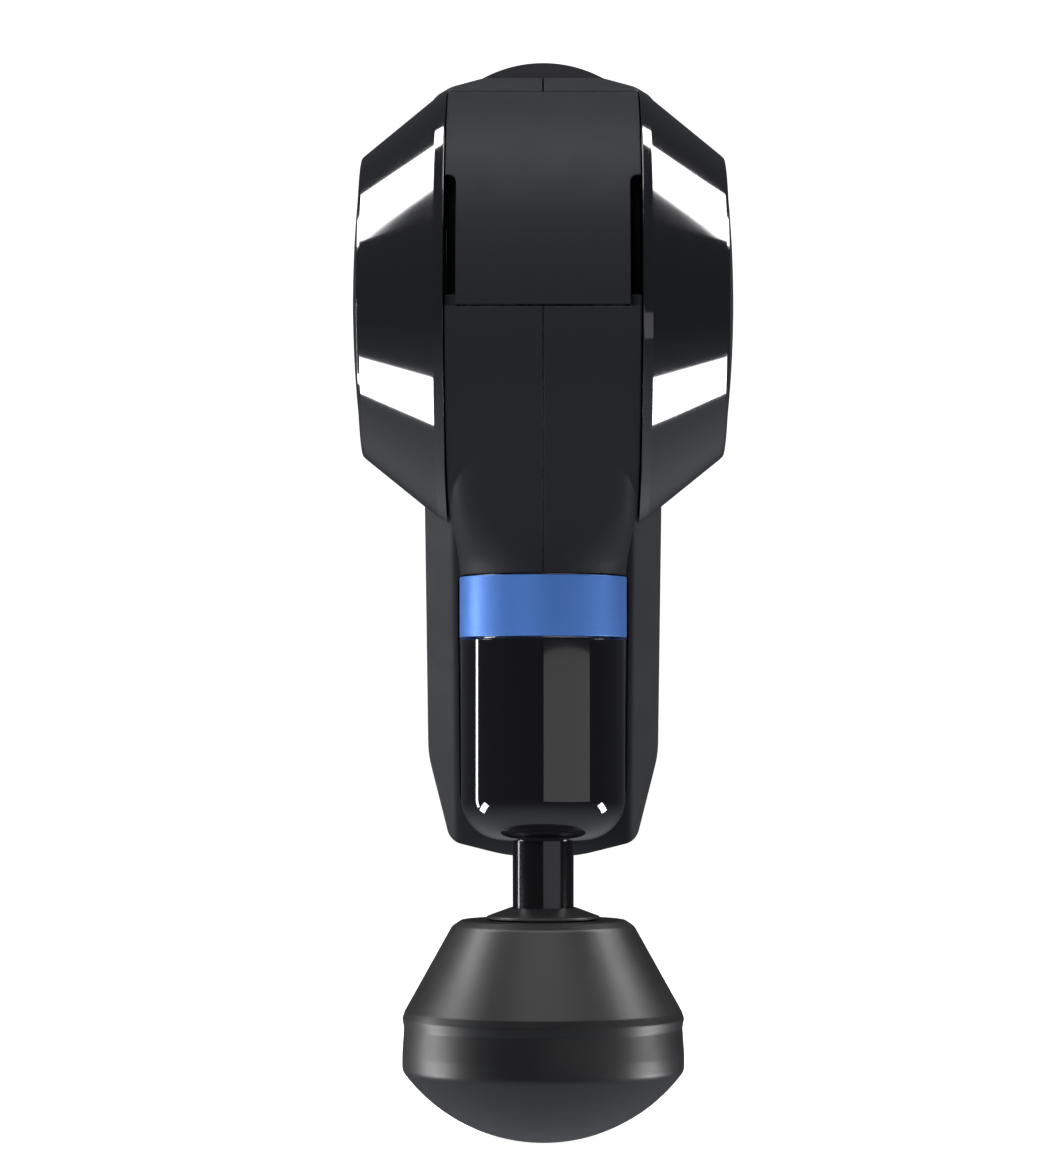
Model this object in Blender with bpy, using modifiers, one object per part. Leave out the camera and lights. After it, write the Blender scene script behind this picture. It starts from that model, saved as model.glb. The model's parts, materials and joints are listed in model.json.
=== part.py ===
"""Percussive massage gun with a tilting arm: separate pieces, in metres, +Z up.

The frame's origin is under the middle of the object at rest: the massage head's tip touches z = 0.
Dimensions are in millimetres, and MM turns them into metres when a mesh or a place is made.
"Motor frame" means the frame whose origin is the motor's centre, with +X to the right, +Y to the
rear and +Z up. The arm hangs straight down along -Z, and the handle loop is behind the motor.
"""
import math

import bmesh
import bpy
from mathutils import Euler, Vector

MM = 0.001
MERGE = 0.00001
GAP = 0.3               # between pieces that touch
PIN_GAP = 0.12          # radial room of a pin or a bush
PAST = 1.0              # how far a cutter runs past the face it cuts

# Where the motor's centre is, above the tip and in front of the middle of the depth.
MOTOR_HEIGHT = 166.6
MOTOR_FORWARD = -36.91

# Arm drum and its hood, turned about X. Angles are measured from the front, upwards.
DRUM_R = 43.0
DRUM_WALL = 2.2
ARM_HALF = 18.7
CHEEK = 2.3             # thickness of the drum's side discs
HOOD_LOW = -5.5
HOOD_HIGH = 95.0
SHELL_END = 151.0
SEAM_DEG = 0.4          # gap at the parting line
SLOT_HIGH = 29.7
SLOT_WIDTH = 2.1

# Neck, ring and nose, along -Z below the motor.
NECK_TOP = -30.0
NECK_START = -39.0
NECK_END = -53.8
NECK_R = 16.6
NECK_HALF = 18.6
NECK_DEEP = 20.0
BORE_R = 13.8
RING_TOP = -54.1
RING_LOW = -66.2
RING_R = 16.7
NOSE_R = 16.4
NOSE_LOW = -106.6
NOSE_ROUND = 8.4
NOSE_HOLE = 7.4

# Output shaft and crank.
SHAFT_R = 6.1
SHAFT_TOP = -26.0
SHAFT_LOW = -144.0
ECCENTRIC = 8.0
ROD_LONG = 32.0
ROD_TILT = math.asin(ECCENTRIC / ROD_LONG)
WRIST_Z = -ROD_LONG * math.cos(ROD_TILT)
ROD_HALF = 2.7
FORK_HALF = 3.0
WRIST_R = 2.0

# Massage head.
HEAD_TOP = -122.5
HEAD_TOP_R = 18.2
HEAD_R = 28.1
HEAD_BELT_TOP = -141.3
HEAD_BELT_LOW = -152.3
HEAD_SOCKET_R = 8.3
COLLAR_TOP = -120.0
COLLAR_R = 11.4
SLEEVE_LOW = -146.6

# Side pods, turned about X. H is the distance from the middle plane.
POD_IN_H = 18.95
POD_IN_R = 43.4
POD_BAND_H = 20.9
POD_BAND_R = 42.2
POD_OUT_H = 35.5
POD_OUT_R = 30.4
POD_TOP_H = 36.1
CAP_R = 27.3
CAP_RIM_H = 36.2
CAP_CROWN = 1.7
CAP_UNDER_H = 34.3
CAP_FLAT_R = 6.0
BUTTON_R = 11.0

# Motor, fixed in the left side plate.
HOUSING_R = 21.0
HOUSING_FRONT = 8.4
HOUSING_BACK = 32.5
MOTOR_SHAFT_R = 2.5
BEARING_R = 6.0

# Right-hand pivot, and the arm lock's peg in its arc slot.
HUB_R = 11.0
HUB_BORE = 8.5
LOCK_ANGLE = 100.0
LOCK_R = 16.0
STOPS = 4
STOP_DEG = 30.0

# Handle loop, drawn in the plane of Y and Z.
HANDLE_HALF = 24.6
HANDLE_CHAMFER = 6.3
WALL = 2.8
DRUM_ROOM_R = 43.5
COWL_R = 47.0
PLATE_R = 39.0
PLATE_IN = 19.0
PLATE_OUT = 21.2
LEG_LEAN = math.atan2(32.0, 136.0)
FRONT_LEAN = math.atan2(36.0, 76.0)
HANDLE_OUTLINE = [
    (56.5, -113.0, 9.0),
    (85.8, -113.0, 9.0),
    (118.0, 24.0, 9.0),
    (98.0, 49.3, 6.0),
    (9.0, 49.3, 5.0),
    (2.0, 44.4, 1.0),
    (2.0, 20.0, 3.0),
    (20.0, -36.0, 3.0),
]
OPENING_OUTLINE = [
    (67.4, -73.0, 9.0),
    (90.4, 24.5, 9.0),
    (35.0, 24.5, 1.0),
    (35.0, -4.6, 1.0),
]
# The handle as seen from the front, in the plane of X and Z.
FRONT_OUTLINE = [
    (-20.0, -108.6, 4.0),
    (-7.0, -112.0, 30.0),
    (7.0, -112.0, 30.0),
    (20.0, -108.6, 4.0),
    (24.6, -90.0, 22.0),
    (24.6, 38.0, 2.0),
    (21.9, 44.0, 3.0),
    (12.0, 47.6, 4.0),
    (-12.0, 47.6, 4.0),
    (-21.9, 44.0, 3.0),
    (-24.6, 38.0, 2.0),
    (-24.6, -90.0, 22.0),
]
# Screw bosses: how far back, how high, and how far out each one reaches.
BOSSES = [(68.0, -100.0, 19.5), (44.0, -58.0, 23.2), (99.7, 5.0, 23.2), (52.0, 37.0, 23.2)]
BOSS_R = 4.2
SCREW_HOLE_R = 1.75
SCREW_SEAT = 14.0

# Grips laid into the handle.
GRIP_SINK = 1.7
CREST_HALF = 12.4
CREST_LOW = 47.9
CREST_HIGH = 51.1
CREST_FRONT = 9.0
CREST_REAR = 93.5

# Battery, in the rear leg's own frame: its origin is low on the leg's centre line.
LEG_FOOT = (72.1, -112.0)
CELL_R = 9.15
CELL_LONG = 64.0
CELL_X = 9.5
CASE_HALF_X = 20.0
CASE_HALF_Y = 10.4
CASE_LOW = 21.0
CASE_WALL = 0.95

# Control panel, on the slanted face of the rear top corner.
PANEL_AT = (107.15, 37.7)
PANEL_LEAN = math.atan2(25.3, 20.0)
PANEL_HALF_X = 12.0
PANEL_HALF_Y = 11.0
BUTTON_ROW = 3.5
BUTTON_SPREAD = 7.0
LENS_ROW = -5.6

MATERIALS = {
    "shell_plastic": ((0.030, 0.031, 0.034, 1.0), 0.55, 0.0),
    "pod_plastic": ((0.012, 0.012, 0.014, 1.0), 0.15, 0.0),
    "piano_black": ((0.006, 0.006, 0.007, 1.0), 0.06, 0.0),
    "blue_anodised": ((0.070, 0.170, 0.450, 1.0), 0.35, 0.9),
    "head_rubber": ((0.045, 0.046, 0.050, 1.0), 0.60, 0.0),
    "grip_rubber": ((0.020, 0.020, 0.022, 1.0), 0.75, 0.0),
    "shaft_steel": ((0.030, 0.030, 0.032, 1.0), 0.18, 0.6),
    "bright_steel": ((0.60, 0.60, 0.62, 1.0), 0.30, 1.0),
    "aluminium": ((0.70, 0.71, 0.73, 1.0), 0.35, 1.0),
    "copper": ((0.72, 0.38, 0.22, 1.0), 0.35, 1.0),
    "bronze": ((0.55, 0.40, 0.20, 1.0), 0.40, 1.0),
    "cell_wrap": ((0.05, 0.25, 0.45, 1.0), 0.40, 0.0),
    "board_green": ((0.03, 0.18, 0.08, 1.0), 0.50, 0.0),
    "lens_plastic": ((0.01, 0.01, 0.012, 1.0), 0.05, 0.0),
}


def clear_scene():
    for obj in list(bpy.data.objects):
        bpy.data.objects.remove(obj, do_unlink=True)


def make_collection(name):
    collection = bpy.data.collections.new(name)
    bpy.context.scene.collection.children.link(collection)
    return collection


def make_material(name):
    """The material of this name, made the first time it is asked for."""
    if name in bpy.data.materials:
        return bpy.data.materials[name]
    colour, roughness, metallic = MATERIALS[name]
    material = bpy.data.materials.new(name)
    material.use_nodes = True
    shader = material.node_tree.nodes["Principled BSDF"]
    shader.inputs["Base Color"].default_value = colour
    shader.inputs["Roughness"].default_value = roughness
    shader.inputs["Metallic"].default_value = metallic
    material.diffuse_color = colour
    return material


def scaled(point):
    return Vector(point) * MM


def empty(name, at=(0.0, 0.0, 0.0), lean=0.0, parent=None):
    """An empty on a joint's axis. Lean turns it about X."""
    obj = bpy.data.objects.new(name, None)
    obj.location = scaled(at)
    obj.rotation_euler = Euler((lean, 0.0, 0.0))
    obj.parent = parent
    obj.empty_display_size = 0.01
    PARTS.objects.link(obj)
    return obj


def place(name, mesh, material, parent, at=(0.0, 0.0, 0.0), turn=(0.0, 0.0, 0.0)):
    """An object of the model, or a cutter where material is None."""
    obj = bpy.data.objects.new(name, mesh)
    obj.location = scaled(at)
    obj.rotation_euler = Euler(turn)
    obj.parent = parent
    if material is None:
        obj.hide_render = True
        obj.display_type = "WIRE"
        CUTTERS.objects.link(obj)
        return obj
    mesh.materials.append(material)
    mesh.shade_smooth()
    mesh.set_sharp_from_angle(angle=math.radians(30.0))
    PARTS.objects.link(obj)
    return obj


def mesh_from(name, bm):
    bmesh.ops.scale(bm, vec=(MM, MM, MM), verts=bm.verts)
    bmesh.ops.recalc_face_normals(bm, faces=bm.faces)
    mesh = bpy.data.meshes.new(name)
    bm.to_mesh(mesh)
    bm.free()
    return mesh


def cut(target, tool, operation="DIFFERENCE"):
    modifier = target.modifiers.new(tool.name, "BOOLEAN")
    modifier.operation = operation
    modifier.object = tool
    modifier.solver = "EXACT"


TURN_X = (0.0, math.pi / 2, 0.0)        # local +Z becomes +X
TURN_MINUS_X = (0.0, -math.pi / 2, 0.0)
TURN_YZ = (math.pi / 2, 0.0, math.pi / 2)   # a flat outline's X and Y become Y and Z
TURN_XZ = (math.pi / 2, 0.0, 0.0)       # a flat outline's X and Y become X and Z


def along_x(side):
    return TURN_X if side > 0 else TURN_MINUS_X


def turned(name, profile, material, parent, steps=48, ring=False, **where):
    """A solid of revolution about its local Z.

    The profile's points are (radius, height), down the outer side. A ring's profile is closed.
    """
    mesh = bpy.data.meshes.new(name)
    points = [(radius * MM, 0.0, height * MM) for radius, height in profile]
    count = len(points)
    last = count if ring else count - 1
    edges = [(i, (i + 1) % count) for i in range(last)]
    mesh.from_pydata(points, edges, [])
    obj = place(name, mesh, material, parent, **where)
    screw = obj.modifiers.new("turn", "SCREW")
    screw.axis = "Z"
    screw.steps = steps
    screw.render_steps = steps
    screw.use_merge_vertices = True
    screw.merge_threshold = MERGE
    screw.use_smooth_shade = True
    return obj


def ring_profile(outer, inner, high, low):
    return [(outer, high), (outer, low), (inner, low), (inner, high)]


def rod_profile(radius, high, low):
    return [(0.0, high), (radius, high), (radius, low), (0.0, low)]


def arc(centre, radius, start_deg, end_deg, count):
    """Points of an arc, both ends included."""
    step = (end_deg - start_deg) / count
    angles = [math.radians(start_deg + step * i) for i in range(count + 1)]
    return [(centre[0] + radius * math.cos(a), centre[1] + radius * math.sin(a)) for a in angles]


def rounded(corners, inset=0.0, step_deg=18.0):
    """A closed outline, anticlockwise, moved in by inset, with an arc at each corner."""
    count = len(corners)
    sides = []
    for i in range(count):
        start = Vector(corners[i][:2])
        way = (Vector(corners[(i + 1) % count][:2]) - start).normalized()
        inward = Vector((-way.y, way.x))
        sides.append((start + inward * inset, way, inward))
    points = []
    for i in range(count):
        start_in, way_in, inward = sides[i - 1]
        start_out, way_out, _ = sides[i]
        cross = way_in.x * way_out.y - way_in.y * way_out.x
        across = start_out - start_in
        corner = start_in + way_in * ((across.x * way_out.y - across.y * way_out.x) / cross)
        turn = math.atan2(cross, way_in.dot(way_out))
        bend = 1.0 if turn > 0 else -1.0
        radius = max(corners[i][2] - bend * inset, 0.5)
        tangent = radius * math.tan(abs(turn) / 2)
        centre = corner - way_in * tangent + inward * radius * bend
        spoke = corner - way_in * tangent - centre
        steps = max(1, round(abs(math.degrees(turn)) / step_deg))
        for k in range(steps + 1):
            angle = turn * k / steps
            swung = Vector((
                spoke.x * math.cos(angle) - spoke.y * math.sin(angle),
                spoke.x * math.sin(angle) + spoke.y * math.cos(angle),
            ))
            points.append(tuple(centre + swung))
    return points


def flat_mesh(name, outline, thick):
    """A filled outline with a thickness, centred on its own plane, as a welded mesh."""
    curve = bpy.data.curves.new(name, "CURVE")
    curve.dimensions = "2D"
    curve.fill_mode = "BOTH"
    curve.extrude = thick / 2 * MM
    spline = curve.splines.new("POLY")
    spline.points.add(len(outline) - 1)
    for point, (across, up) in zip(spline.points, outline):
        point.co = (across * MM, up * MM, 0.0, 1.0)
    spline.use_cyclic_u = True
    guide = bpy.data.objects.new(name, curve)
    CUTTERS.objects.link(guide)
    graph = bpy.context.evaluated_depsgraph_get()
    mesh = bpy.data.meshes.new_from_object(guide.evaluated_get(graph))
    bpy.data.objects.remove(guide, do_unlink=True)
    mesh.materials.clear()
    bm = bmesh.new()
    bm.from_mesh(mesh)
    bmesh.ops.remove_doubles(bm, verts=bm.verts, dist=MERGE)
    flat = math.radians(0.5)
    bmesh.ops.dissolve_limit(bm, angle_limit=flat, verts=bm.verts, edges=bm.edges)
    bmesh.ops.recalc_face_normals(bm, faces=bm.faces)
    bm.to_mesh(mesh)
    bm.free()
    return mesh


def slab(name, outline, low, high, material, parent):
    """A flat outline in the plane of Y and Z, from x = low to x = high."""
    mesh = flat_mesh(name, outline, high - low)
    return place(name, mesh, material, parent, at=((low + high) / 2, 0.0, 0.0), turn=TURN_YZ)


def loft(name, loops, material, parent):
    """A solid through loops of points that all have the same count, capped at both ends."""
    bm = bmesh.new()
    rings = [[bm.verts.new(point) for point in loop] for loop in loops]
    count = len(rings[0])
    for ring, following in zip(rings, rings[1:]):
        for i in range(count):
            j = (i + 1) % count
            bm.faces.new((ring[i], ring[j], following[j], following[i]))
    bm.faces.new(rings[0])
    bm.faces.new(rings[-1])
    return place(name, mesh_from(name, bm), material, parent)


def stepped(name, corners, levels, material, parent):
    """A rounded outline in the plane of Y and Z, lofted through levels of (x, inset)."""
    loops = [[(x, rear, up) for rear, up in rounded(corners, inset)] for x, inset in levels]
    return loft(name, loops, material, parent)


def box(name, low, high, material, parent, bevel=0.0, **where):
    bm = bmesh.new()
    bmesh.ops.create_cube(bm, size=1.0)
    size = [b - a for a, b in zip(low, high)]
    middle = [(a + b) / 2 for a, b in zip(low, high)]
    bmesh.ops.scale(bm, vec=size, verts=bm.verts)
    bmesh.ops.translate(bm, vec=middle, verts=bm.verts)
    if bevel:
        bmesh.ops.bevel(bm, geom=list(bm.edges), offset=bevel, segments=2, profile=0.5, affect="EDGES")
    return place(name, mesh_from(name, bm), material, parent, **where)


def cylinder(name, radius, low, high, material, parent, steps=24, **where):
    """A cylinder along its local Z, from low to high."""
    bm = bmesh.new()
    bmesh.ops.create_cone(
        bm, cap_ends=True, segments=steps, radius1=radius, radius2=radius, depth=high - low,
    )
    bmesh.ops.translate(bm, vec=(0.0, 0.0, (low + high) / 2), verts=bm.verts)
    return place(name, mesh_from(name, bm), material, parent, **where)


def sector(low_deg, high_deg, inner, outer, step_deg=5.0):
    """Outline, in Y and Z, of a piece of the drum's wall. Angles run from the front, upwards."""
    count = max(2, round((high_deg - low_deg) / step_deg))
    outside = arc((0.0, 0.0), outer, 180.0 - high_deg, 180.0 - low_deg, count)
    inside = arc((0.0, 0.0), inner, 180.0 - low_deg, 180.0 - high_deg, count)
    return outside + inside


# ---------------------------------------------------------------- handle and pods


def pod_outside(grow=0.0):
    """The pod's outer side, as (radius, height from the middle plane), from outside to inside."""
    return [
        (POD_OUT_R - 0.6 + grow, POD_TOP_H),
        (POD_OUT_R + grow, POD_OUT_H),
        (POD_BAND_R + grow, POD_BAND_H),
        (POD_IN_R + grow, POD_IN_H),
    ]


def handle_half(side, material, parent):
    """One clamshell of the handle, open towards the middle plane, with its side plate."""
    word = "right" if side > 0 else "left"
    outside = HANDLE_HALF + GAP
    levels = [(GAP / 2, 0.0), (outside - HANDLE_CHAMFER, 0.0), (outside, HANDLE_CHAMFER)]
    shell = stepped(
        f"{word}_shell", HANDLE_OUTLINE, [(side * x, inset) for x, inset in levels], material, parent,
    )
    front = flat_mesh(f"{word}_front_view", rounded(FRONT_OUTLINE), 160.0)
    front_tool = place(
        f"{word}_front_view", front, None, parent, at=(0.0, 60.0, 0.0), turn=TURN_XZ,
    )
    cut(shell, front_tool, "INTERSECT")

    spread = HANDLE_CHAMFER + PAST
    levels = [(-2 * PAST, 0.0), (HANDLE_HALF - HANDLE_CHAMFER, 0.0), (HANDLE_HALF + PAST, -spread)]
    opening = stepped(
        f"{word}_opening", OPENING_OUTLINE, [(side * x, inset) for x, inset in levels], None, parent,
    )
    cowl = cylinder(f"{word}_cowl", COWL_R, -45.0, 45.0, None, parent, steps=56, turn=TURN_X)
    cut(opening, cowl)
    cut(shell, opening)

    drum_room = cylinder(
        f"{word}_drum_room", DRUM_ROOM_R, -PAST, POD_IN_H - 0.1, None, parent,
        steps=56, turn=along_x(side),
    )
    cut(shell, drum_room)
    room = [(0.0, 60.0)] + [(POD_OUT_R + GAP, 60.0)] + pod_outside(GAP)[1:]
    room = room[:-1] + [(POD_IN_R + GAP, POD_IN_H - 0.2), (0.0, POD_IN_H - 0.2)]
    pod_room = turned(f"{word}_pod_room", room, None, parent, steps=40, turn=along_x(side))
    cut(shell, pod_room)

    inside = HANDLE_HALF - WALL
    chamfer = HANDLE_CHAMFER - GAP
    levels = [(-PAST, WALL), (inside - chamfer, WALL), (inside, WALL + chamfer)]
    hollow = stepped(
        f"{word}_hollow", HANDLE_OUTLINE, [(side * x, inset) for x, inset in levels], None, parent,
    )
    inner_front = flat_mesh(f"{word}_inner_front", rounded(FRONT_OUTLINE, inset=WALL), 160.0)
    inner_tool = place(
        f"{word}_inner_front", inner_front, None, parent, at=(0.0, 60.0, 0.0), turn=TURN_XZ,
    )
    cut(hollow, inner_tool, "INTERSECT")
    spread = chamfer + PAST
    levels = [(-2 * PAST, -WALL), (inside - chamfer, -WALL), (inside + PAST, -WALL - spread)]
    lining = stepped(
        f"{word}_lining", OPENING_OUTLINE, [(side * x, inset) for x, inset in levels], None, parent,
    )
    cut(hollow, lining)
    collar = cylinder(
        f"{word}_collar", COWL_R + 0.1, -44.0, 44.0, None, parent, steps=56, turn=TURN_X,
    )
    cut(hollow, collar)
    cut(shell, hollow)

    plate = cylinder(
        f"{word}_plate", PLATE_R, PLATE_IN, PLATE_OUT, None, parent, steps=40, turn=along_x(side),
    )
    bridge_low, bridge_high = sorted((side * PLATE_IN, side * PLATE_OUT))
    bridge = box(
        f"{word}_bridge", (bridge_low, 30.0, -12.0), (bridge_high, 46.0, 12.0), None, parent,
    )
    cut(plate, bridge, "UNION")
    cut(shell, plate, "UNION")
    return shell


def add_bosses(shell, side, parent):
    """Screw bosses. The right ones are drilled through, and the left ones are blind."""
    word = "right" if side > 0 else "left"
    for number, (rear, up, reach) in enumerate(BOSSES, start=1):
        boss = cylinder(
            f"{word}_boss_{number}", BOSS_R, GAP / 2, reach, None, parent,
            steps=12, at=(0.0, rear, up), turn=along_x(side),
        )
        cut(shell, boss, "UNION")
        depth = HANDLE_HALF + PAST if side > 0 else SCREW_SEAT
        hole = cylinder(
            f"{word}_hole_{number}", SCREW_HOLE_R, -PAST, depth, None, parent,
            steps=10, at=(0.0, rear, up), turn=along_x(side),
        )
        cut(shell, hole)
        if side > 0:
            seat = cylinder(
                f"seat_{number}", 3.2, SCREW_SEAT, HANDLE_HALF + PAST, None, parent,
                steps=14, at=(0.0, rear, up), turn=TURN_X,
            )
            cut(shell, seat)


def make_root(motor):
    shell_plastic = make_material("shell_plastic")
    shells = {}
    for side in (-1, 1):
        shells[side] = handle_half(side, shell_plastic, motor)

    # Recesses and the strips that lie in them. A positive lean tips the strip's top forwards.
    strips = [
        ("front_grip", HANDLE_OUTLINE[0][:2], FRONT_LEAN, 13.0, 68.0, 17.5, -1.0),
        ("rear_grip", HANDLE_OUTLINE[1][:2], -LEG_LEAN, 15.0, 118.0, 16.0, 1.0),
    ]
    grip_rubber = make_material("grip_rubber")
    for name, foot, lean, low, high, half, outward in strips:
        frame = empty(f"{name}_frame", at=(0.0, foot[0], foot[1]), lean=lean, parent=motor)
        near, far = sorted((-outward * (GRIP_SINK - GAP), 0.0))
        box(name, (-half, near, low), (half, far, high), grip_rubber, frame, bevel=0.35)
        near, far = sorted((-outward * GRIP_SINK, outward * PAST))
        recess = box(
            f"{name}_recess", (-half - GAP, near, low - GAP), (half + GAP, far, high + GAP), None, frame,
        )
        for shell in shells.values():
            cut(shell, recess)

    crest_arc_r = (CREST_HALF ** 2 + (CREST_HIGH - CREST_LOW) ** 2) / (2 * (CREST_HIGH - CREST_LOW))
    reach = math.degrees(math.asin(CREST_HALF / crest_arc_r))
    crest_centre = (0.0, CREST_HIGH - crest_arc_r)
    crest = arc(crest_centre, crest_arc_r, 90.0 - reach, 90.0 + reach, 12)
    crest_mesh = flat_mesh("top_grip", crest, CREST_REAR - CREST_FRONT)
    crest_at = (0.0, (CREST_FRONT + CREST_REAR) / 2, 0.0)
    place("top_grip", crest_mesh, grip_rubber, motor, at=crest_at, turn=TURN_XZ)

    # The charge port, in the foot of the rear leg.
    port_at = (0.0, 77.5, 0.0)
    port_hole = cylinder("port_hole", 4.5, -120.0, -99.0, None, motor, steps=20, at=port_at)
    steel = make_material("bright_steel")
    port = [(4.2, -99.3), (4.2, -110.6), (2.7, -110.6), (2.7, -102.0), (0.0, -102.0)]
    turned("charge_port", [(0.0, -99.3)] + port, steel, motor, steps=16, at=port_at)

    for side, shell in shells.items():
        add_bosses(shell, side, motor)
        cut(shell, port_hole)

    # Motor hole on the left, hub hole on the right.
    motor_hole = cylinder(
        "motor_hole", HOUSING_R + GAP, PLATE_IN - PAST, PLATE_OUT + PAST, None, motor,
        steps=36, turn=TURN_MINUS_X,
    )
    cut(shells[-1], motor_hole)
    hub_hole = cylinder(
        "hub_hole", HUB_R + GAP, PLATE_IN - PAST, PLATE_OUT + PAST, None, motor,
        steps=32, turn=TURN_X,
    )
    cut(shells[1], hub_hole)

    for number, (rear, up, _) in enumerate(BOSSES, start=1):
        screw = [
            (0.0, SCREW_SEAT + 2.4), (2.8, SCREW_SEAT + 2.4), (2.8, SCREW_SEAT + GAP),
            (1.45, SCREW_SEAT + GAP), (1.45, -11.5), (0.0, -12.5),
        ]
        turned(
            f"shell_screw_{number}", screw, steel, motor, steps=10,
            at=(0.0, rear, up), turn=TURN_X,
        )

    make_panel(motor, shells)
    return shells


def make_pod(side, motor):
    """A cone-shaped cover with a seat for its disc, notched where the side plate meets the shell."""
    word = "right" if side > 0 else "left"
    profile = pod_outside() + [
        (40.0, POD_IN_H), (39.5, 21.6), (29.9, 32.6), (25.6, 32.6),
        (25.6, 34.0), (CAP_R + GAP, 34.0), (CAP_R + GAP, POD_TOP_H),
    ]
    pod = turned(
        f"{word}_pod", profile, make_material("pod_plastic"), motor, steps=40, ring=True,
        turn=along_x(side),
    )
    low, high = sorted((side * 18.0, side * (PLATE_OUT + GAP)))
    notch = box(f"{word}_notch", (low, 34.0, -12.4), (high, 50.0, 12.4), None, motor)
    cut(pod, notch)


def dome(radius):
    """Height of the domed discs, from the middle plane."""
    return CAP_RIM_H + CAP_CROWN * (1.0 - (radius / CAP_R) ** 2)


def make_pods(motor):
    for side in (-1, 1):
        make_pod(side, motor)
    pod_plastic = make_material("pod_plastic")
    crown = CAP_RIM_H + CAP_CROWN
    radii = (11.0, 19.0, CAP_R)
    cap = [(0.0, crown), (CAP_FLAT_R, crown)] + [(r, dome(r)) for r in radii]
    cap += [(CAP_R, CAP_UNDER_H), (0.0, CAP_UNDER_H)]
    turned("left_pod_cap", cap, pod_plastic, motor, steps=36, turn=TURN_MINUS_X)
    inner = BUTTON_R + GAP
    ring = [(inner, dome(inner))] + [(r, dome(r)) for r in radii[1:]]
    ring += [(CAP_R, CAP_UNDER_H), (inner, CAP_UNDER_H)]
    turned("right_pod_ring", ring, pod_plastic, motor, steps=36, ring=True, turn=TURN_X)


def make_panel(motor, shells):
    """Control panel: bezel, lens, three buttons and the board under them."""
    frame = empty("panel_frame", at=(0.0, *PANEL_AT), lean=-PANEL_LEAN, parent=motor)
    seat = box(
        "panel_seat", (-PANEL_HALF_X - GAP, -PANEL_HALF_Y - GAP, -1.6),
        (PANEL_HALF_X + GAP, PANEL_HALF_Y + GAP, 3.0), None, frame,
    )
    window = box("panel_window", (-10.8, -8.6, -9.0), (10.8, 8.0, 3.0), None, frame)
    for shell in shells.values():
        cut(shell, seat)
        cut(shell, window)
    bezel = box(
        "panel_bezel", (-PANEL_HALF_X, -PANEL_HALF_Y, -1.3), (PANEL_HALF_X, PANEL_HALF_Y, 0.0),
        make_material("piano_black"), frame, bevel=0.3,
    )
    lens_hole = box(
        "lens_hole", (-8.0, LENS_ROW - 2.9, -2.0), (8.0, LENS_ROW + 2.9, 1.0), None, frame,
    )
    cut(bezel, lens_hole)
    box(
        "display_lens", (-7.7, LENS_ROW - 2.6, -1.2), (7.7, LENS_ROW + 2.6, -0.1),
        make_material("lens_plastic"), frame, bevel=0.2,
    )
    buttons = [
        ("power_button", 0.0, 2.6),
        ("speed_down_button", -BUTTON_SPREAD, 2.3),
        ("speed_up_button", BUTTON_SPREAD, 2.3),
    ]
    grip_rubber = make_material("grip_rubber")
    for name, across, radius in buttons:
        hole = cylinder(
            f"{name}_hole", radius + GAP, -2.0, 1.0, None, frame, steps=14,
            at=(across, BUTTON_ROW, 0.0),
        )
        cut(bezel, hole)
        profile = [
            (0.0, 0.8), (radius - 0.4, 0.8), (radius, 0.4), (radius, -1.6),
            (radius + 0.7, -1.6), (radius + 0.7, -2.8), (0.0, -2.8),
        ]
        turned(name, profile, grip_rubber, frame, steps=14, at=(across, BUTTON_ROW, 0.0))
    box(
        "control_board", (-10.0, -7.5, -5.4), (10.0, 7.0, -4.2), make_material("board_green"), frame,
    )


# ---------------------------------------------------------------- motor and crank


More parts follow.
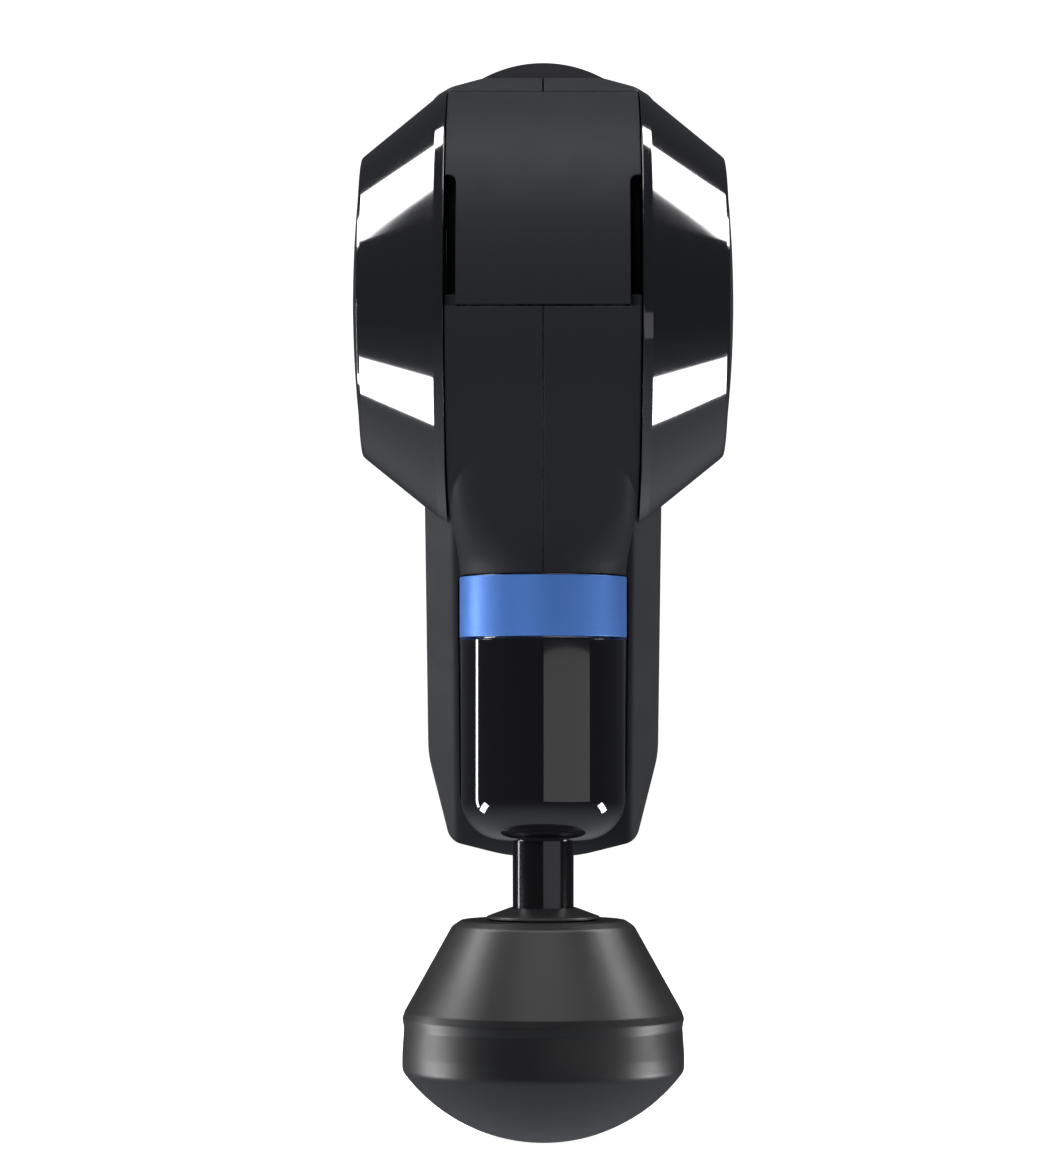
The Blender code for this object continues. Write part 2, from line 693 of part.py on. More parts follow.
def make_motor(motor):
    aluminium = make_material("aluminium")
    steel = make_material("bright_steel")
    housing = [
        (HOUSING_R, HOUSING_BACK), (HOUSING_R, 24.0), (26.0, 24.0), (26.0, PLATE_OUT + GAP),
        (HOUSING_R, PLATE_OUT + GAP), (HOUSING_R, HOUSING_FRONT), (BEARING_R + GAP, HOUSING_FRONT),
        (BEARING_R + GAP, 11.0), (19.4, 11.0), (19.4, HOUSING_BACK),
    ]
    can = turned(
        "motor_housing", housing, aluminium, motor, steps=28, ring=True, turn=TURN_MINUS_X,
    )
    for number in range(1, 4):
        angle = math.radians(120.0 * number + 30.0)
        spot = (0.0, 23.5 * math.cos(angle), 23.5 * math.sin(angle))
        hole = cylinder(
            f"motor_screw_hole_{number}", 1.3, 19.0 - PAST, 25.0, None, motor, steps=8,
            at=spot, turn=TURN_MINUS_X,
        )
        cut(can, hole)
        cut(bpy.data.objects["left_shell"], hole)
        screw = [(0.0, 25.8), (2.1, 25.8), (2.1, 24.3), (1.0, 24.3), (1.0, 19.1), (0.0, 19.1)]
        turned(
            f"motor_screw_{number}", screw, steel, motor, steps=8, at=spot, turn=TURN_MINUS_X,
        )
    end_cap = [
        (20.6, 34.0), (20.6, HOUSING_BACK + GAP), (8.0, HOUSING_BACK + GAP), (8.0, 29.6),
        (BEARING_R + GAP, 29.6), (BEARING_R + GAP, 32.6), (3.0, 32.6), (3.0, 34.0),
    ]
    turned("motor_end_cap", end_cap, aluminium, motor, steps=20, ring=True, turn=TURN_MINUS_X)
    stator = ring_profile(19.0, 12.8, 28.0, 12.5)
    turned("stator", stator, make_material("copper"), motor, steps=20, ring=True, turn=TURN_MINUS_X)
    race = MOTOR_SHAFT_R + PIN_GAP
    for name, high, low in (("front_bearing", 10.9, 8.5), ("rear_bearing", 32.3, 29.7)):
        profile = ring_profile(BEARING_R, race, high, low)
        turned(name, profile, steel, motor, steps=16, ring=True, turn=TURN_MINUS_X)

    crank = empty("crank_axis", parent=motor)
    turned(
        "motor_shaft", rod_profile(MOTOR_SHAFT_R, 31.8, 5.6), steel, crank, steps=20, turn=TURN_MINUS_X,
    )
    turned(
        "rotor", ring_profile(12.3, race, 27.5, 13.0), make_material("bright_steel"), crank,
        steps=20, ring=True, turn=TURN_MINUS_X,
    )
    disc = turned(
        "crank_disc", ring_profile(15.0, race, 8.1, 5.3), steel, crank, steps=24, ring=True,
        turn=TURN_MINUS_X,
    )
    pin = cylinder(
        "crank_pin", 3.0, ROD_HALF + 0.4, 6.0, None, crank, steps=16, at=(0.0, ECCENTRIC, 0.0),
        turn=TURN_MINUS_X,
    )
    cut(disc, pin, "UNION")


def make_pivot(motor):
    """Right-hand pivot: the hub, the arm-lock button on its stem, its plate and its spring."""
    steel = make_material("bright_steel")
    hub = [
        (16.0, 23.5), (16.0, PLATE_OUT + GAP), (HUB_R, PLATE_OUT + GAP), (HUB_R, 12.5),
        (HUB_BORE, 12.5), (HUB_BORE, PLATE_OUT + GAP), (4.4, PLATE_OUT + GAP), (4.4, 23.5),
    ]
    turned("pivot_hub", hub, make_material("aluminium"), motor, steps=24, ring=True, turn=TURN_X)

    release = empty("release_axis", parent=motor)
    crown = CAP_RIM_H + CAP_CROWN
    button = [
        (0.0, crown), (CAP_FLAT_R, crown), (9.0, dome(9.0)), (BUTTON_R - 0.3, dome(BUTTON_R)),
        (BUTTON_R, dome(BUTTON_R) - 0.3), (BUTTON_R, 34.9), (4.0, 34.9), (4.0, 10.4), (0.0, 10.4),
    ]
    turned("release_button", button, make_material("pod_plastic"), release, steps=24, turn=TURN_X)
    plate = turned(
        "lock_plate", ring_profile(18.2, 4.0 + PIN_GAP, 12.2, 10.4), steel, release,
        steps=24, ring=True, turn=TURN_X,
    )
    peg_angle = math.radians(LOCK_ANGLE)
    peg = cylinder(
        "lock_peg", 1.5, 11.0, 15.0, None, release, steps=12,
        at=(0.0, -LOCK_R * math.cos(peg_angle), LOCK_R * math.sin(peg_angle)), turn=TURN_X,
    )
    cut(plate, peg, "UNION")

    spring = bpy.data.curves.new("lock_spring", "CURVE")
    spring.dimensions = "3D"
    spring.bevel_depth = 0.5 * MM
    spring.bevel_resolution = 2
    spring.use_fill_caps = True
    turns, per_turn = 3, 8
    coil = spring.splines.new("POLY")
    coil.points.add(turns * per_turn)
    for i, point in enumerate(coil.points):
        angle = 2 * math.pi * i / per_turn
        along = 24.4 + (34.2 - 24.4) * i / (turns * per_turn)
        point.co = (5.6 * math.cos(angle) * MM, 5.6 * math.sin(angle) * MM, along * MM, 1.0)
    spring.materials.append(steel)
    obj = bpy.data.objects.new("lock_spring", spring)
    obj.rotation_euler = Euler(TURN_X)
    obj.parent = motor
    PARTS.objects.link(obj)


# ---------------------------------------------------------------- arm


def neck_section(height):
    """Half-widths and squareness of the neck at a height, from the drum's box to a circle."""
    blend = min(1.0, max(0.0, (NECK_START - height) / (NECK_START - NECK_END)))
    blend = blend * blend * (3.0 - 2.0 * blend)
    half_x = NECK_HALF + (NECK_R - NECK_HALF) * blend
    half_y = NECK_DEEP + (NECK_R - NECK_DEEP) * blend
    power = 7.0 + (2.0 - 7.0) * blend
    return half_x, half_y, power


def neck(name, parent):
    """The neck's outer form: superellipse sections, from a rounded box to a circle."""
    heights = (NECK_TOP, NECK_START, -43.0, -46.5, -50.0, NECK_END)
    around = 32
    loops = []
    for height in heights:
        half_x, half_y, power = neck_section(height)
        loop = []
        for i in range(around):
            angle = 2 * math.pi * (i + 0.5) / around
            across, deep = math.cos(angle), math.sin(angle)
            x = math.copysign(abs(across) ** (2.0 / power), across) * half_x
            y = math.copysign(abs(deep) ** (2.0 / power), deep) * half_y
            loop.append((x, y, height))
        loops.append(loop)
    return loft(name, loops, None, parent)


def arm_half(side, material, arm):
    """One clamshell of the arm: half of the drum with its side disc, and half of the neck."""
    word = "right" if side > 0 else "left"
    shell = cylinder(
        f"arm_shell_{word}", DRUM_R, -ARM_HALF, ARM_HALF, material, arm, steps=56, turn=TURN_X,
    )
    cut(shell, neck(f"{word}_neck", arm), "UNION")
    inside = ARM_HALF - CHEEK
    hollow = cylinder(
        f"{word}_arm_hollow", DRUM_R - DRUM_WALL - GAP, -inside, inside, None, arm,
        steps=56, turn=TURN_X,
    )
    cut(shell, hollow)
    top = sector(HOOD_LOW - SEAM_DEG, SHELL_END, DRUM_R - DRUM_WALL - GAP, DRUM_R + 5.0)
    cut(shell, slab(f"{word}_arm_top", top, -ARM_HALF - PAST, ARM_HALF + PAST, None, arm))
    bore = cylinder(f"{word}_neck_bore", BORE_R, -60.0, -32.0, None, arm, steps=32)
    cut(shell, bore)
    eye = HOUSING_R + 1.6 if side < 0 else HUB_R + 1.4
    hub_hole = cylinder(
        f"{word}_arm_eye", eye, inside - PAST, ARM_HALF + PAST, None, arm, steps=36,
        turn=along_x(side),
    )
    cut(shell, hub_hole)
    low, high = sorted((side * GAP / 2, side * -30.0))
    other = box(f"{word}_arm_other", (low, -60.0, -70.0), (high, 60.0, 60.0), None, arm)
    cut(shell, other)
    return shell


def make_hood(arm):
    wall = sector(HOOD_LOW, HOOD_HIGH, DRUM_R - DRUM_WALL, DRUM_R)
    hood = slab("hood", wall, -ARM_HALF, ARM_HALF, make_material("shell_plastic"), arm)
    slot = sector(HOOD_LOW - 3.0, SLOT_HIGH, DRUM_R - 5.0, DRUM_R + 3.0)
    inner = ARM_HALF - SLOT_WIDTH
    for side in (-1, 1):
        low, high = sorted((side * inner, side * (ARM_HALF + PAST)))
        cut(hood, slab(f"slot_{side}", slot, low, high, None, arm))


def make_arm(motor):
    arm = empty("arm_axis", parent=motor)
    shell_plastic = make_material("shell_plastic")
    for side in (-1, 1):
        arm_half(side, shell_plastic, arm)
    make_hood(arm)

    steel = make_material("bright_steel")
    bronze = make_material("bronze")
    bush = ring_profile(HOUSING_R + 1.3, HOUSING_R + PIN_GAP, ARM_HALF, ARM_HALF - CHEEK)
    turned("left_pivot_bush", bush, bronze, arm, steps=36, ring=True, turn=TURN_MINUS_X)
    bush = ring_profile(HUB_R + 1.1, HUB_R + PIN_GAP, ARM_HALF, ARM_HALF - CHEEK)
    turned("right_pivot_bush", bush, bronze, arm, steps=28, ring=True, turn=TURN_X)

    disc = turned(
        "detent_disc", ring_profile(21.0, HUB_R + 1.4, ARM_HALF - CHEEK - GAP, 13.2), steel, arm,
        steps=28, ring=True, turn=TURN_X,
    )
    swept = STOP_DEG * (STOPS - 1)
    slot = sector(LOCK_ANGLE - swept, LOCK_ANGLE, LOCK_R - 1.8, LOCK_R + 1.8)
    cut(disc, slab("lock_slot", slot, 12.0, 17.5, None, arm))
    for stop in range(STOPS):
        angle = math.radians(LOCK_ANGLE - STOP_DEG * stop)
        notch = cylinder(
            f"lock_notch_{stop}", 2.2, 12.0, 17.5, None, arm, steps=12,
            at=(0.0, -LOCK_R * math.cos(angle), LOCK_R * math.sin(angle)), turn=TURN_X,
        )
        cut(disc, notch)

    ring = ring_profile(RING_R, BORE_R, RING_TOP, RING_LOW)
    turned("blue_ring", ring, make_material("blue_anodised"), arm, steps=36, ring=True)
    corner = arc(
        (NOSE_R - NOSE_ROUND, NOSE_LOW + NOSE_ROUND), NOSE_ROUND, 0.0, -90.0, 3,
    )
    nose = [(NOSE_R, RING_LOW - GAP)] + corner + [
        (NOSE_HOLE, NOSE_LOW), (NOSE_HOLE, NOSE_LOW + 2.0), (9.6, NOSE_LOW + 2.0),
        (9.6, -98.3), (BORE_R, -98.3), (BORE_R, RING_LOW - GAP),
    ]
    turned("barrel", nose, make_material("piano_black"), arm, steps=36, ring=True)
    tube = ring_profile(BORE_R - GAP, 9.5, -38.5, -98.0)
    turned("guide_tube", tube, make_material("aluminium"), arm, steps=24, ring=True)
    for name, high, low in (("upper_bushing", -46.0, -57.0), ("lower_bushing", -86.0, -97.0)):
        profile = ring_profile(9.2, SHAFT_R + PIN_GAP, high, low)
        turned(name, profile, bronze, arm, steps=24, ring=True)
    seal = ring_profile(9.3, SHAFT_R + PIN_GAP, -98.6, NOSE_LOW + 2.3)
    turned("shaft_seal", seal, make_material("grip_rubber"), arm, steps=24, ring=True)
    return arm


# ---------------------------------------------------------------- shaft, rod and head


def make_shaft(arm):
    shaft_frame = empty("shaft_axis", parent=arm)
    profile = [
        (0.0, SHAFT_TOP), (SHAFT_R - 0.8, SHAFT_TOP), (SHAFT_R, SHAFT_TOP - 0.8),
        (SHAFT_R, SHAFT_LOW + 1.0), (SHAFT_R - 1.0, SHAFT_LOW), (0.0, SHAFT_LOW),
    ]
    shaft = turned("output_shaft", profile, make_material("shaft_steel"), shaft_frame, steps=24)
    slot = box(
        "fork_slot", (-FORK_HALF, -10.0, WRIST_Z - 6.5), (FORK_HALF, 10.0, SHAFT_TOP + PAST),
        None, shaft_frame,
    )
    cut(shaft, slot)
    wrist_at = (0.0, 0.0, WRIST_Z)
    hole = cylinder(
        "wrist_hole", WRIST_R + PIN_GAP, -9.0, 9.0, None, shaft_frame, steps=16,
        at=wrist_at, turn=TURN_X,
    )
    cut(shaft, hole)
    cylinder(
        "wrist_pin", WRIST_R, -5.5, 5.5, make_material("bright_steel"), shaft_frame,
        steps=16, at=wrist_at, turn=TURN_X,
    )

    # The rod's frame is on the wrist pin, and its Z runs to the big end.
    rod_frame = empty("rod_axis", at=wrist_at, lean=-ROD_TILT, parent=shaft_frame)
    steel = make_material("bright_steel")
    web = [(-3.4, 0.0), (3.4, 0.0), (4.2, ROD_LONG), (-4.2, ROD_LONG)]
    rod = slab("connecting_rod", web, -ROD_HALF + 0.5, ROD_HALF - 0.5, steel, rod_frame)
    ends = [("small_end", 4.6, 0.0, WRIST_R + PIN_GAP), ("big_end", 7.4, ROD_LONG, 5.2)]
    for name, radius, along, _ in ends:
        eye = cylinder(
            name, radius, -ROD_HALF, ROD_HALF, None, rod_frame, steps=20,
            at=(0.0, 0.0, along), turn=TURN_X,
        )
        cut(rod, eye, "UNION")
    for name, _, along, bore in ends:
        tool = cylinder(
            f"{name}_bore", bore, -ROD_HALF - PAST, ROD_HALF + PAST, None, rod_frame, steps=24,
            at=(0.0, 0.0, along), turn=TURN_X,
        )
        cut(rod, tool)
    turned(
        "big_end_bearing", ring_profile(4.9, 3.2, ROD_HALF - 0.2, -ROD_HALF + 0.2), steel, rod_frame,
        steps=16, ring=True, at=(0.0, 0.0, ROD_LONG), turn=TURN_X,
    )

    head = empty("head_axis", at=(0.0, 0.0, HEAD_TOP), parent=shaft_frame)
    sleeve_r = HEAD_SOCKET_R - GAP
    collar = [
        (0.0, COLLAR_TOP), (SHAFT_R + 0.5, COLLAR_TOP), (COLLAR_R, HEAD_TOP + 1.0),
        (COLLAR_R, HEAD_TOP + GAP), (sleeve_r, HEAD_TOP + GAP), (sleeve_r, SLEEVE_LOW),
        (0.0, SLEEVE_LOW),
    ]
    collar = [(radius, height - HEAD_TOP) for radius, height in collar]
    sleeve = turned("head_collar", collar, make_material("piano_black"), head, steps=24)
    socket = cylinder(
        "collar_bore", SHAFT_R + PIN_GAP, SHAFT_LOW - GAP - HEAD_TOP, COLLAR_TOP - HEAD_TOP + PAST,
        None, head, steps=24,
    )
    cut(sleeve, socket)

    tip = -MOTOR_HEIGHT
    drop = HEAD_BELT_LOW - tip
    tip_r = (HEAD_R ** 2 + drop ** 2) / (2 * drop)
    reach = math.degrees(math.asin(HEAD_R / tip_r))
    round_tip = arc((0.0, tip + tip_r), tip_r, -90.0 + reach, -90.0, 5)
    body = [
        (0.0, HEAD_TOP), (HEAD_TOP_R - 1.6, HEAD_TOP), (HEAD_TOP_R, HEAD_TOP - 1.2),
        (HEAD_R - 0.6, HEAD_BELT_TOP + 0.9), (HEAD_R, HEAD_BELT_TOP - 0.6),
    ] + round_tip[:-1] + [(0.0, tip)]
    body = [(radius, height - HEAD_TOP) for radius, height in body]
    pad = turned("head_body", body, make_material("head_rubber"), head, steps=36)
    hollow = cylinder(
        "head_socket", HEAD_SOCKET_R, SLEEVE_LOW - GAP - HEAD_TOP, PAST, None, head, steps=24,
    )
    cut(pad, hollow)


# ---------------------------------------------------------------- battery and boards


def make_power(motor):
    leg = empty("leg_frame", at=(0.0, *LEG_FOOT), lean=-LEG_LEAN, parent=motor)
    corners = [
        (-CASE_HALF_X, -CASE_HALF_Y, 9.9), (CASE_HALF_X, -CASE_HALF_Y, 9.9),
        (CASE_HALF_X, CASE_HALF_Y, 9.9), (-CASE_HALF_X, CASE_HALF_Y, 9.9),
    ]
    long = CELL_LONG + 3.0
    middle = CASE_LOW + long / 2
    case_mesh = flat_mesh("battery_case", rounded(corners), long)
    case = place(
        "battery_case", case_mesh, make_material("grip_rubber"), leg, at=(0.0, 0.0, middle),
    )
    room_mesh = flat_mesh("battery_room", rounded(corners, inset=CASE_WALL), long)
    room = place("battery_room", room_mesh, None, leg, at=(0.0, 0.0, middle + 1.5))
    cut(case, room)
    wrap = make_material("cell_wrap")
    foot = CASE_LOW + 1.8
    for name, across in (("cell_left", -CELL_X), ("cell_right", CELL_X)):
        cylinder(name, CELL_R, foot, foot + CELL_LONG, wrap, leg, steps=24, at=(across, 0.0, 0.0))
    box(
        "main_board", (-6.0, 59.0, 29.5), (-4.4, 90.0, 44.0), make_material("board_green"), motor,
    )


def build():
    motor = empty("motor_frame", at=(0.0, MOTOR_FORWARD, MOTOR_HEIGHT))
    make_root(motor)
    make_pods(motor)
    make_motor(motor)
    make_pivot(motor)
    arm = make_arm(motor)
    make_shaft(arm)
    make_power(motor)


clear_scene()
PARTS = make_collection("massage_gun")
CUTTERS = make_collection("cutters")
build()
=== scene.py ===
"""Looks of a percussive massage gun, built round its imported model.

Shapes are drawn in millimetres in the motor's frame: its origin is the motor's centre, +X is to the
right, +Y to the rear and +Z up. PLACE turns them into the row's metres.
"""

import json
import math

import bmesh
import bpy
from mathutils import Matrix, Vector


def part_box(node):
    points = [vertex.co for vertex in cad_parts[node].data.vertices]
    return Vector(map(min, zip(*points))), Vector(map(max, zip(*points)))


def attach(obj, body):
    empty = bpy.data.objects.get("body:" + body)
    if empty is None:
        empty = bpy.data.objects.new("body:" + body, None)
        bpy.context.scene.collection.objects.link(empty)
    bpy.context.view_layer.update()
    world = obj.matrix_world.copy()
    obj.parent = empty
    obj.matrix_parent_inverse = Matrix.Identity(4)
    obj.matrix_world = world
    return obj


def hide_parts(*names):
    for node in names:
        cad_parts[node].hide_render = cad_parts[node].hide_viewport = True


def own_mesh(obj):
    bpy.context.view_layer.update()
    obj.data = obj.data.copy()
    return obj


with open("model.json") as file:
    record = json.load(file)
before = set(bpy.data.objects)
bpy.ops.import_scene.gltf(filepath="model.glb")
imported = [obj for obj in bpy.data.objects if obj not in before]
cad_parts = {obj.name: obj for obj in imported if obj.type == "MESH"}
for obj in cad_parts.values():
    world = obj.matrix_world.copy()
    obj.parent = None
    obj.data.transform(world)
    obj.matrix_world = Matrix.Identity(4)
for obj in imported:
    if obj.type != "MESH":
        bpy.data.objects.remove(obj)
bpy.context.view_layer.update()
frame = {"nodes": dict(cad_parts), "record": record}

MM = 0.001
GAP = 0.3               # between pieces that touch
ROUND = 128             # steps of a turned piece
FINE = 192              # steps of a large turned piece
SHARP = math.radians(32.0)
PAST = 1.0              # how far a cutter runs past the face it cuts
# The sockets of a Mix node in colour mode, which share their names with those of its other modes.
MIX_A, MIX_B, MIX_OUT = 6, 7, 2

cap_low, cap_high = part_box("left_pod_cap")
MOTOR = Vector((0.0, (cap_low.y + cap_high.y) / 2, (cap_low.z + cap_high.z) / 2))
TIP = -MOTOR.z / MM
PLACE = Matrix.Translation(MOTOR) @ Matrix.Scale(MM, 4)
UPRIGHT = Matrix.Identity(4)
RIGHT = Matrix.Rotation(math.pi / 2, 4, "Y")        # local +Z becomes +X
LEFT = Matrix.Rotation(-math.pi / 2, 4, "Y")        # local +Z becomes -X


def along_x(side):
    return RIGHT if side > 0 else LEFT


def frame_at(rear, up, lean):
    return Matrix.Translation((0.0, rear, up)) @ Matrix.Rotation(lean, 4, "X")


# ---------------------------------------------------------------- shapes


def as_object(name, bm, local=UPRIGHT):
    bmesh.ops.recalc_face_normals(bm, faces=bm.faces)
    bm.transform(PLACE @ local)
    mesh = bpy.data.meshes.new(name)
    bm.to_mesh(mesh)
    bm.free()
    obj = bpy.data.objects.new(name, mesh)
    bpy.context.scene.collection.objects.link(obj)
    return obj


def soften(points, ring=False, steps=6):
    """An outline whose corners are rounded: a point may have a third number, its rounding."""
    count = len(points)
    made = []
    for i, point in enumerate(points):
        here = Vector(point[:2])
        size = point[2] if len(point) > 2 else 0.0
        if size <= 0.0 or (not ring and i in (0, count - 1)):
            made.append(tuple(here))
            continue
        before = Vector(points[i - 1][:2]) - here
        after = Vector(points[(i + 1) % count][:2]) - here
        turn = math.pi - before.angle(after)
        reach = min(size * math.tan(turn / 2), 0.48 * before.length, 0.48 * after.length)
        start = here + before.normalized() * reach
        end = here + after.normalized() * reach
        for k in range(steps + 1):
            t = k / steps
            made.append(tuple(start * (1 - t) ** 2 + here * 2 * t * (1 - t) + end * t * t))
    return made


def arc(centre, radius, start_deg, end_deg, count):
    step = (end_deg - start_deg) / count
    angles = [math.radians(start_deg + step * i) for i in range(count + 1)]
    return [(centre[0] + radius * math.cos(a), centre[1] + radius * math.sin(a)) for a in angles]


def lathe(name, profile, ring=False, local=UPRIGHT, steps=ROUND):
    """A turned solid about local Z from (radius, height) points. A ring's profile is closed."""
    bm = bmesh.new()
    rows = []
    for radius, height in profile:
        turns = steps if radius > 0.001 else 1
        angles = [2 * math.pi * k / steps for k in range(turns)]
        rows.append([
            bm.verts.new((radius * math.cos(a), radius * math.sin(a), height)) for a in angles
        ])
    following = rows[1:] + (rows[:1] if ring else [])
    for upper, lower in zip(rows, following):
        for k in range(steps):
            j = (k + 1) % steps
            if len(upper) == 1 and len(lower) > 1:
                bm.faces.new((upper[0], lower[k], lower[j]))
            elif len(lower) == 1 and len(upper) > 1:
                bm.faces.new((upper[k], lower[0], upper[j]))
            elif len(upper) > 1:
                bm.faces.new((upper[k], lower[k], lower[j], upper[j]))
    return as_object(name, bm, local)


def loft(name, loops, local=UPRIGHT):
    """A solid through loops of points that have the same count, capped at both ends."""
    bm = bmesh.new()
    rings = [[bm.verts.new(point) for point in loop] for loop in loops]
    count = len(rings[0])
    for ring, following in zip(rings, rings[1:]):
        for i in range(count):
            j = (i + 1) % count
            bm.faces.new((ring[i], ring[j], following[j], following[i]))
    bm.faces.new(rings[0])
    bm.faces.new(rings[-1])
    return as_object(name, bm, local)


def slab_yz(name, outline, low, high, local=UPRIGHT):
    return loft(name, [[(x, rear, up) for rear, up in outline] for x in (low, high)], local)


def slab_xz(name, outline, low, high, local=UPRIGHT):
    return loft(name, [[(x, rear, up) for x, up in outline] for rear in (low, high)], local)


def slab_xy(name, outline, low, high, local=UPRIGHT):
    return loft(name, [[(x, y, up) for x, y in outline] for up in (low, high)], local)


def box_outline(low, high, radius):
    corners = [(low[0], low[1]), (high[0], low[1]), (high[0], high[1]), (low[0], high[1])]
    return soften([(*corner, radius) for corner in corners], ring=True)


def pad(name, low, high, radius, edge, local=UPRIGHT):
    """A rounded rectangle in X and Y with a rounded top edge, flat below."""
    loops = []
    for step in range(7):
        angle = math.radians(15.0 * step)
        inset = edge * (1 - math.cos(angle))
        up = high[2] - edge + edge * math.sin(angle)
        inner = box_outline(
            (low[0] + inset, low[1] + inset), (high[0] - inset, high[1] - inset), radius,
        )
        loops.append([(x, y, up) for x, y in inner])
    base = [(x, y, low[2]) for x, y, _ in loops[0]]
    return loft(name, [base] + loops, local)


def box(name, low, high, local=UPRIGHT):
    bm = bmesh.new()
    bmesh.ops.create_cube(bm, size=1.0)
    bmesh.ops.scale(bm, vec=[b - a for a, b in zip(low, high)], verts=bm.verts)
    bmesh.ops.translate(bm, vec=[(a + b) / 2 for a, b in zip(low, high)], verts=bm.verts)
    return as_object(name, bm, local)


def cylinder(name, radius, low, high, local=UPRIGHT, steps=ROUND):
    return lathe(name, [(0.0, high), (radius, high), (radius, low), (0.0, low)], False, local, steps)


def cut(target, *tools, operation="DIFFERENCE"):
    for tool in tools:
        modifier = target.modifiers.new(tool.name, "BOOLEAN")
        modifier.operation = operation
        modifier.object = tool
        modifier.solver = "EXACT"


def settle(obj):
    """Applies the Booleans and returns their tools, for the caller to remove."""
    tools = [m.object for m in obj.modifiers]
    graph = bpy.context.evaluated_depsgraph_get()
    mesh = bpy.data.meshes.new_from_object(obj.evaluated_get(graph))
    obj.modifiers.clear()
    obj.data = mesh
    return tools


def drop(*objs):
    for obj in objs:
        bpy.data.objects.remove(obj, do_unlink=True)


def rounded(corners, inset=0.0, step_deg=6.0):
    """A closed outline, anticlockwise, moved in by inset, with an arc at each corner."""
    count = len(corners)
    sides = []
    for i in range(count):
        start = Vector(corners[i][:2])
        way = (Vector(corners[(i + 1) % count][:2]) - start).normalized()
        inward = Vector((-way.y, way.x))
        sides.append((start + inward * inset, way, inward))
    points = []
    for i in range(count):
        start_in, way_in, inward = sides[i - 1]
        start_out, way_out, _ = sides[i]
        cross = way_in.x * way_out.y - way_in.y * way_out.x
        across = start_out - start_in
        corner = start_in + way_in * ((across.x * way_out.y - across.y * way_out.x) / cross)
        turn = math.atan2(cross, way_in.dot(way_out))
        bend = 1.0 if turn > 0 else -1.0
        radius = max(corners[i][2] - bend * inset, 0.5)
        tangent = radius * math.tan(abs(turn) / 2)
        centre = corner - way_in * tangent + inward * radius * bend
        spoke = corner - way_in * tangent - centre
        steps = max(1, round(abs(math.degrees(turn)) / step_deg))
        for k in range(steps + 1):
            angle = turn * k / steps
            swung = Vector((
                spoke.x * math.cos(angle) - spoke.y * math.sin(angle),
                spoke.x * math.sin(angle) + spoke.y * math.cos(angle),
            ))
            points.append(tuple(centre + swung))
    return points


def stepped(name, corners, levels):
    """A rounded outline in the plane of Y and Z, lofted through levels of (x, inset)."""
    return loft(name, [[(x, rear, up) for rear, up in rounded(corners, inset)] for x, inset in levels])


def sector(low_deg, high_deg, inner, outer, step_deg=1.5):
    count = max(2, round((high_deg - low_deg) / step_deg))
    outside = arc((0.0, 0.0), outer, 180.0 - high_deg, 180.0 - low_deg, count)
    inside = arc((0.0, 0.0), inner, 180.0 - low_deg, 180.0 - high_deg, count)
    return outside + inside


# ---------------------------------------------------------------- materials


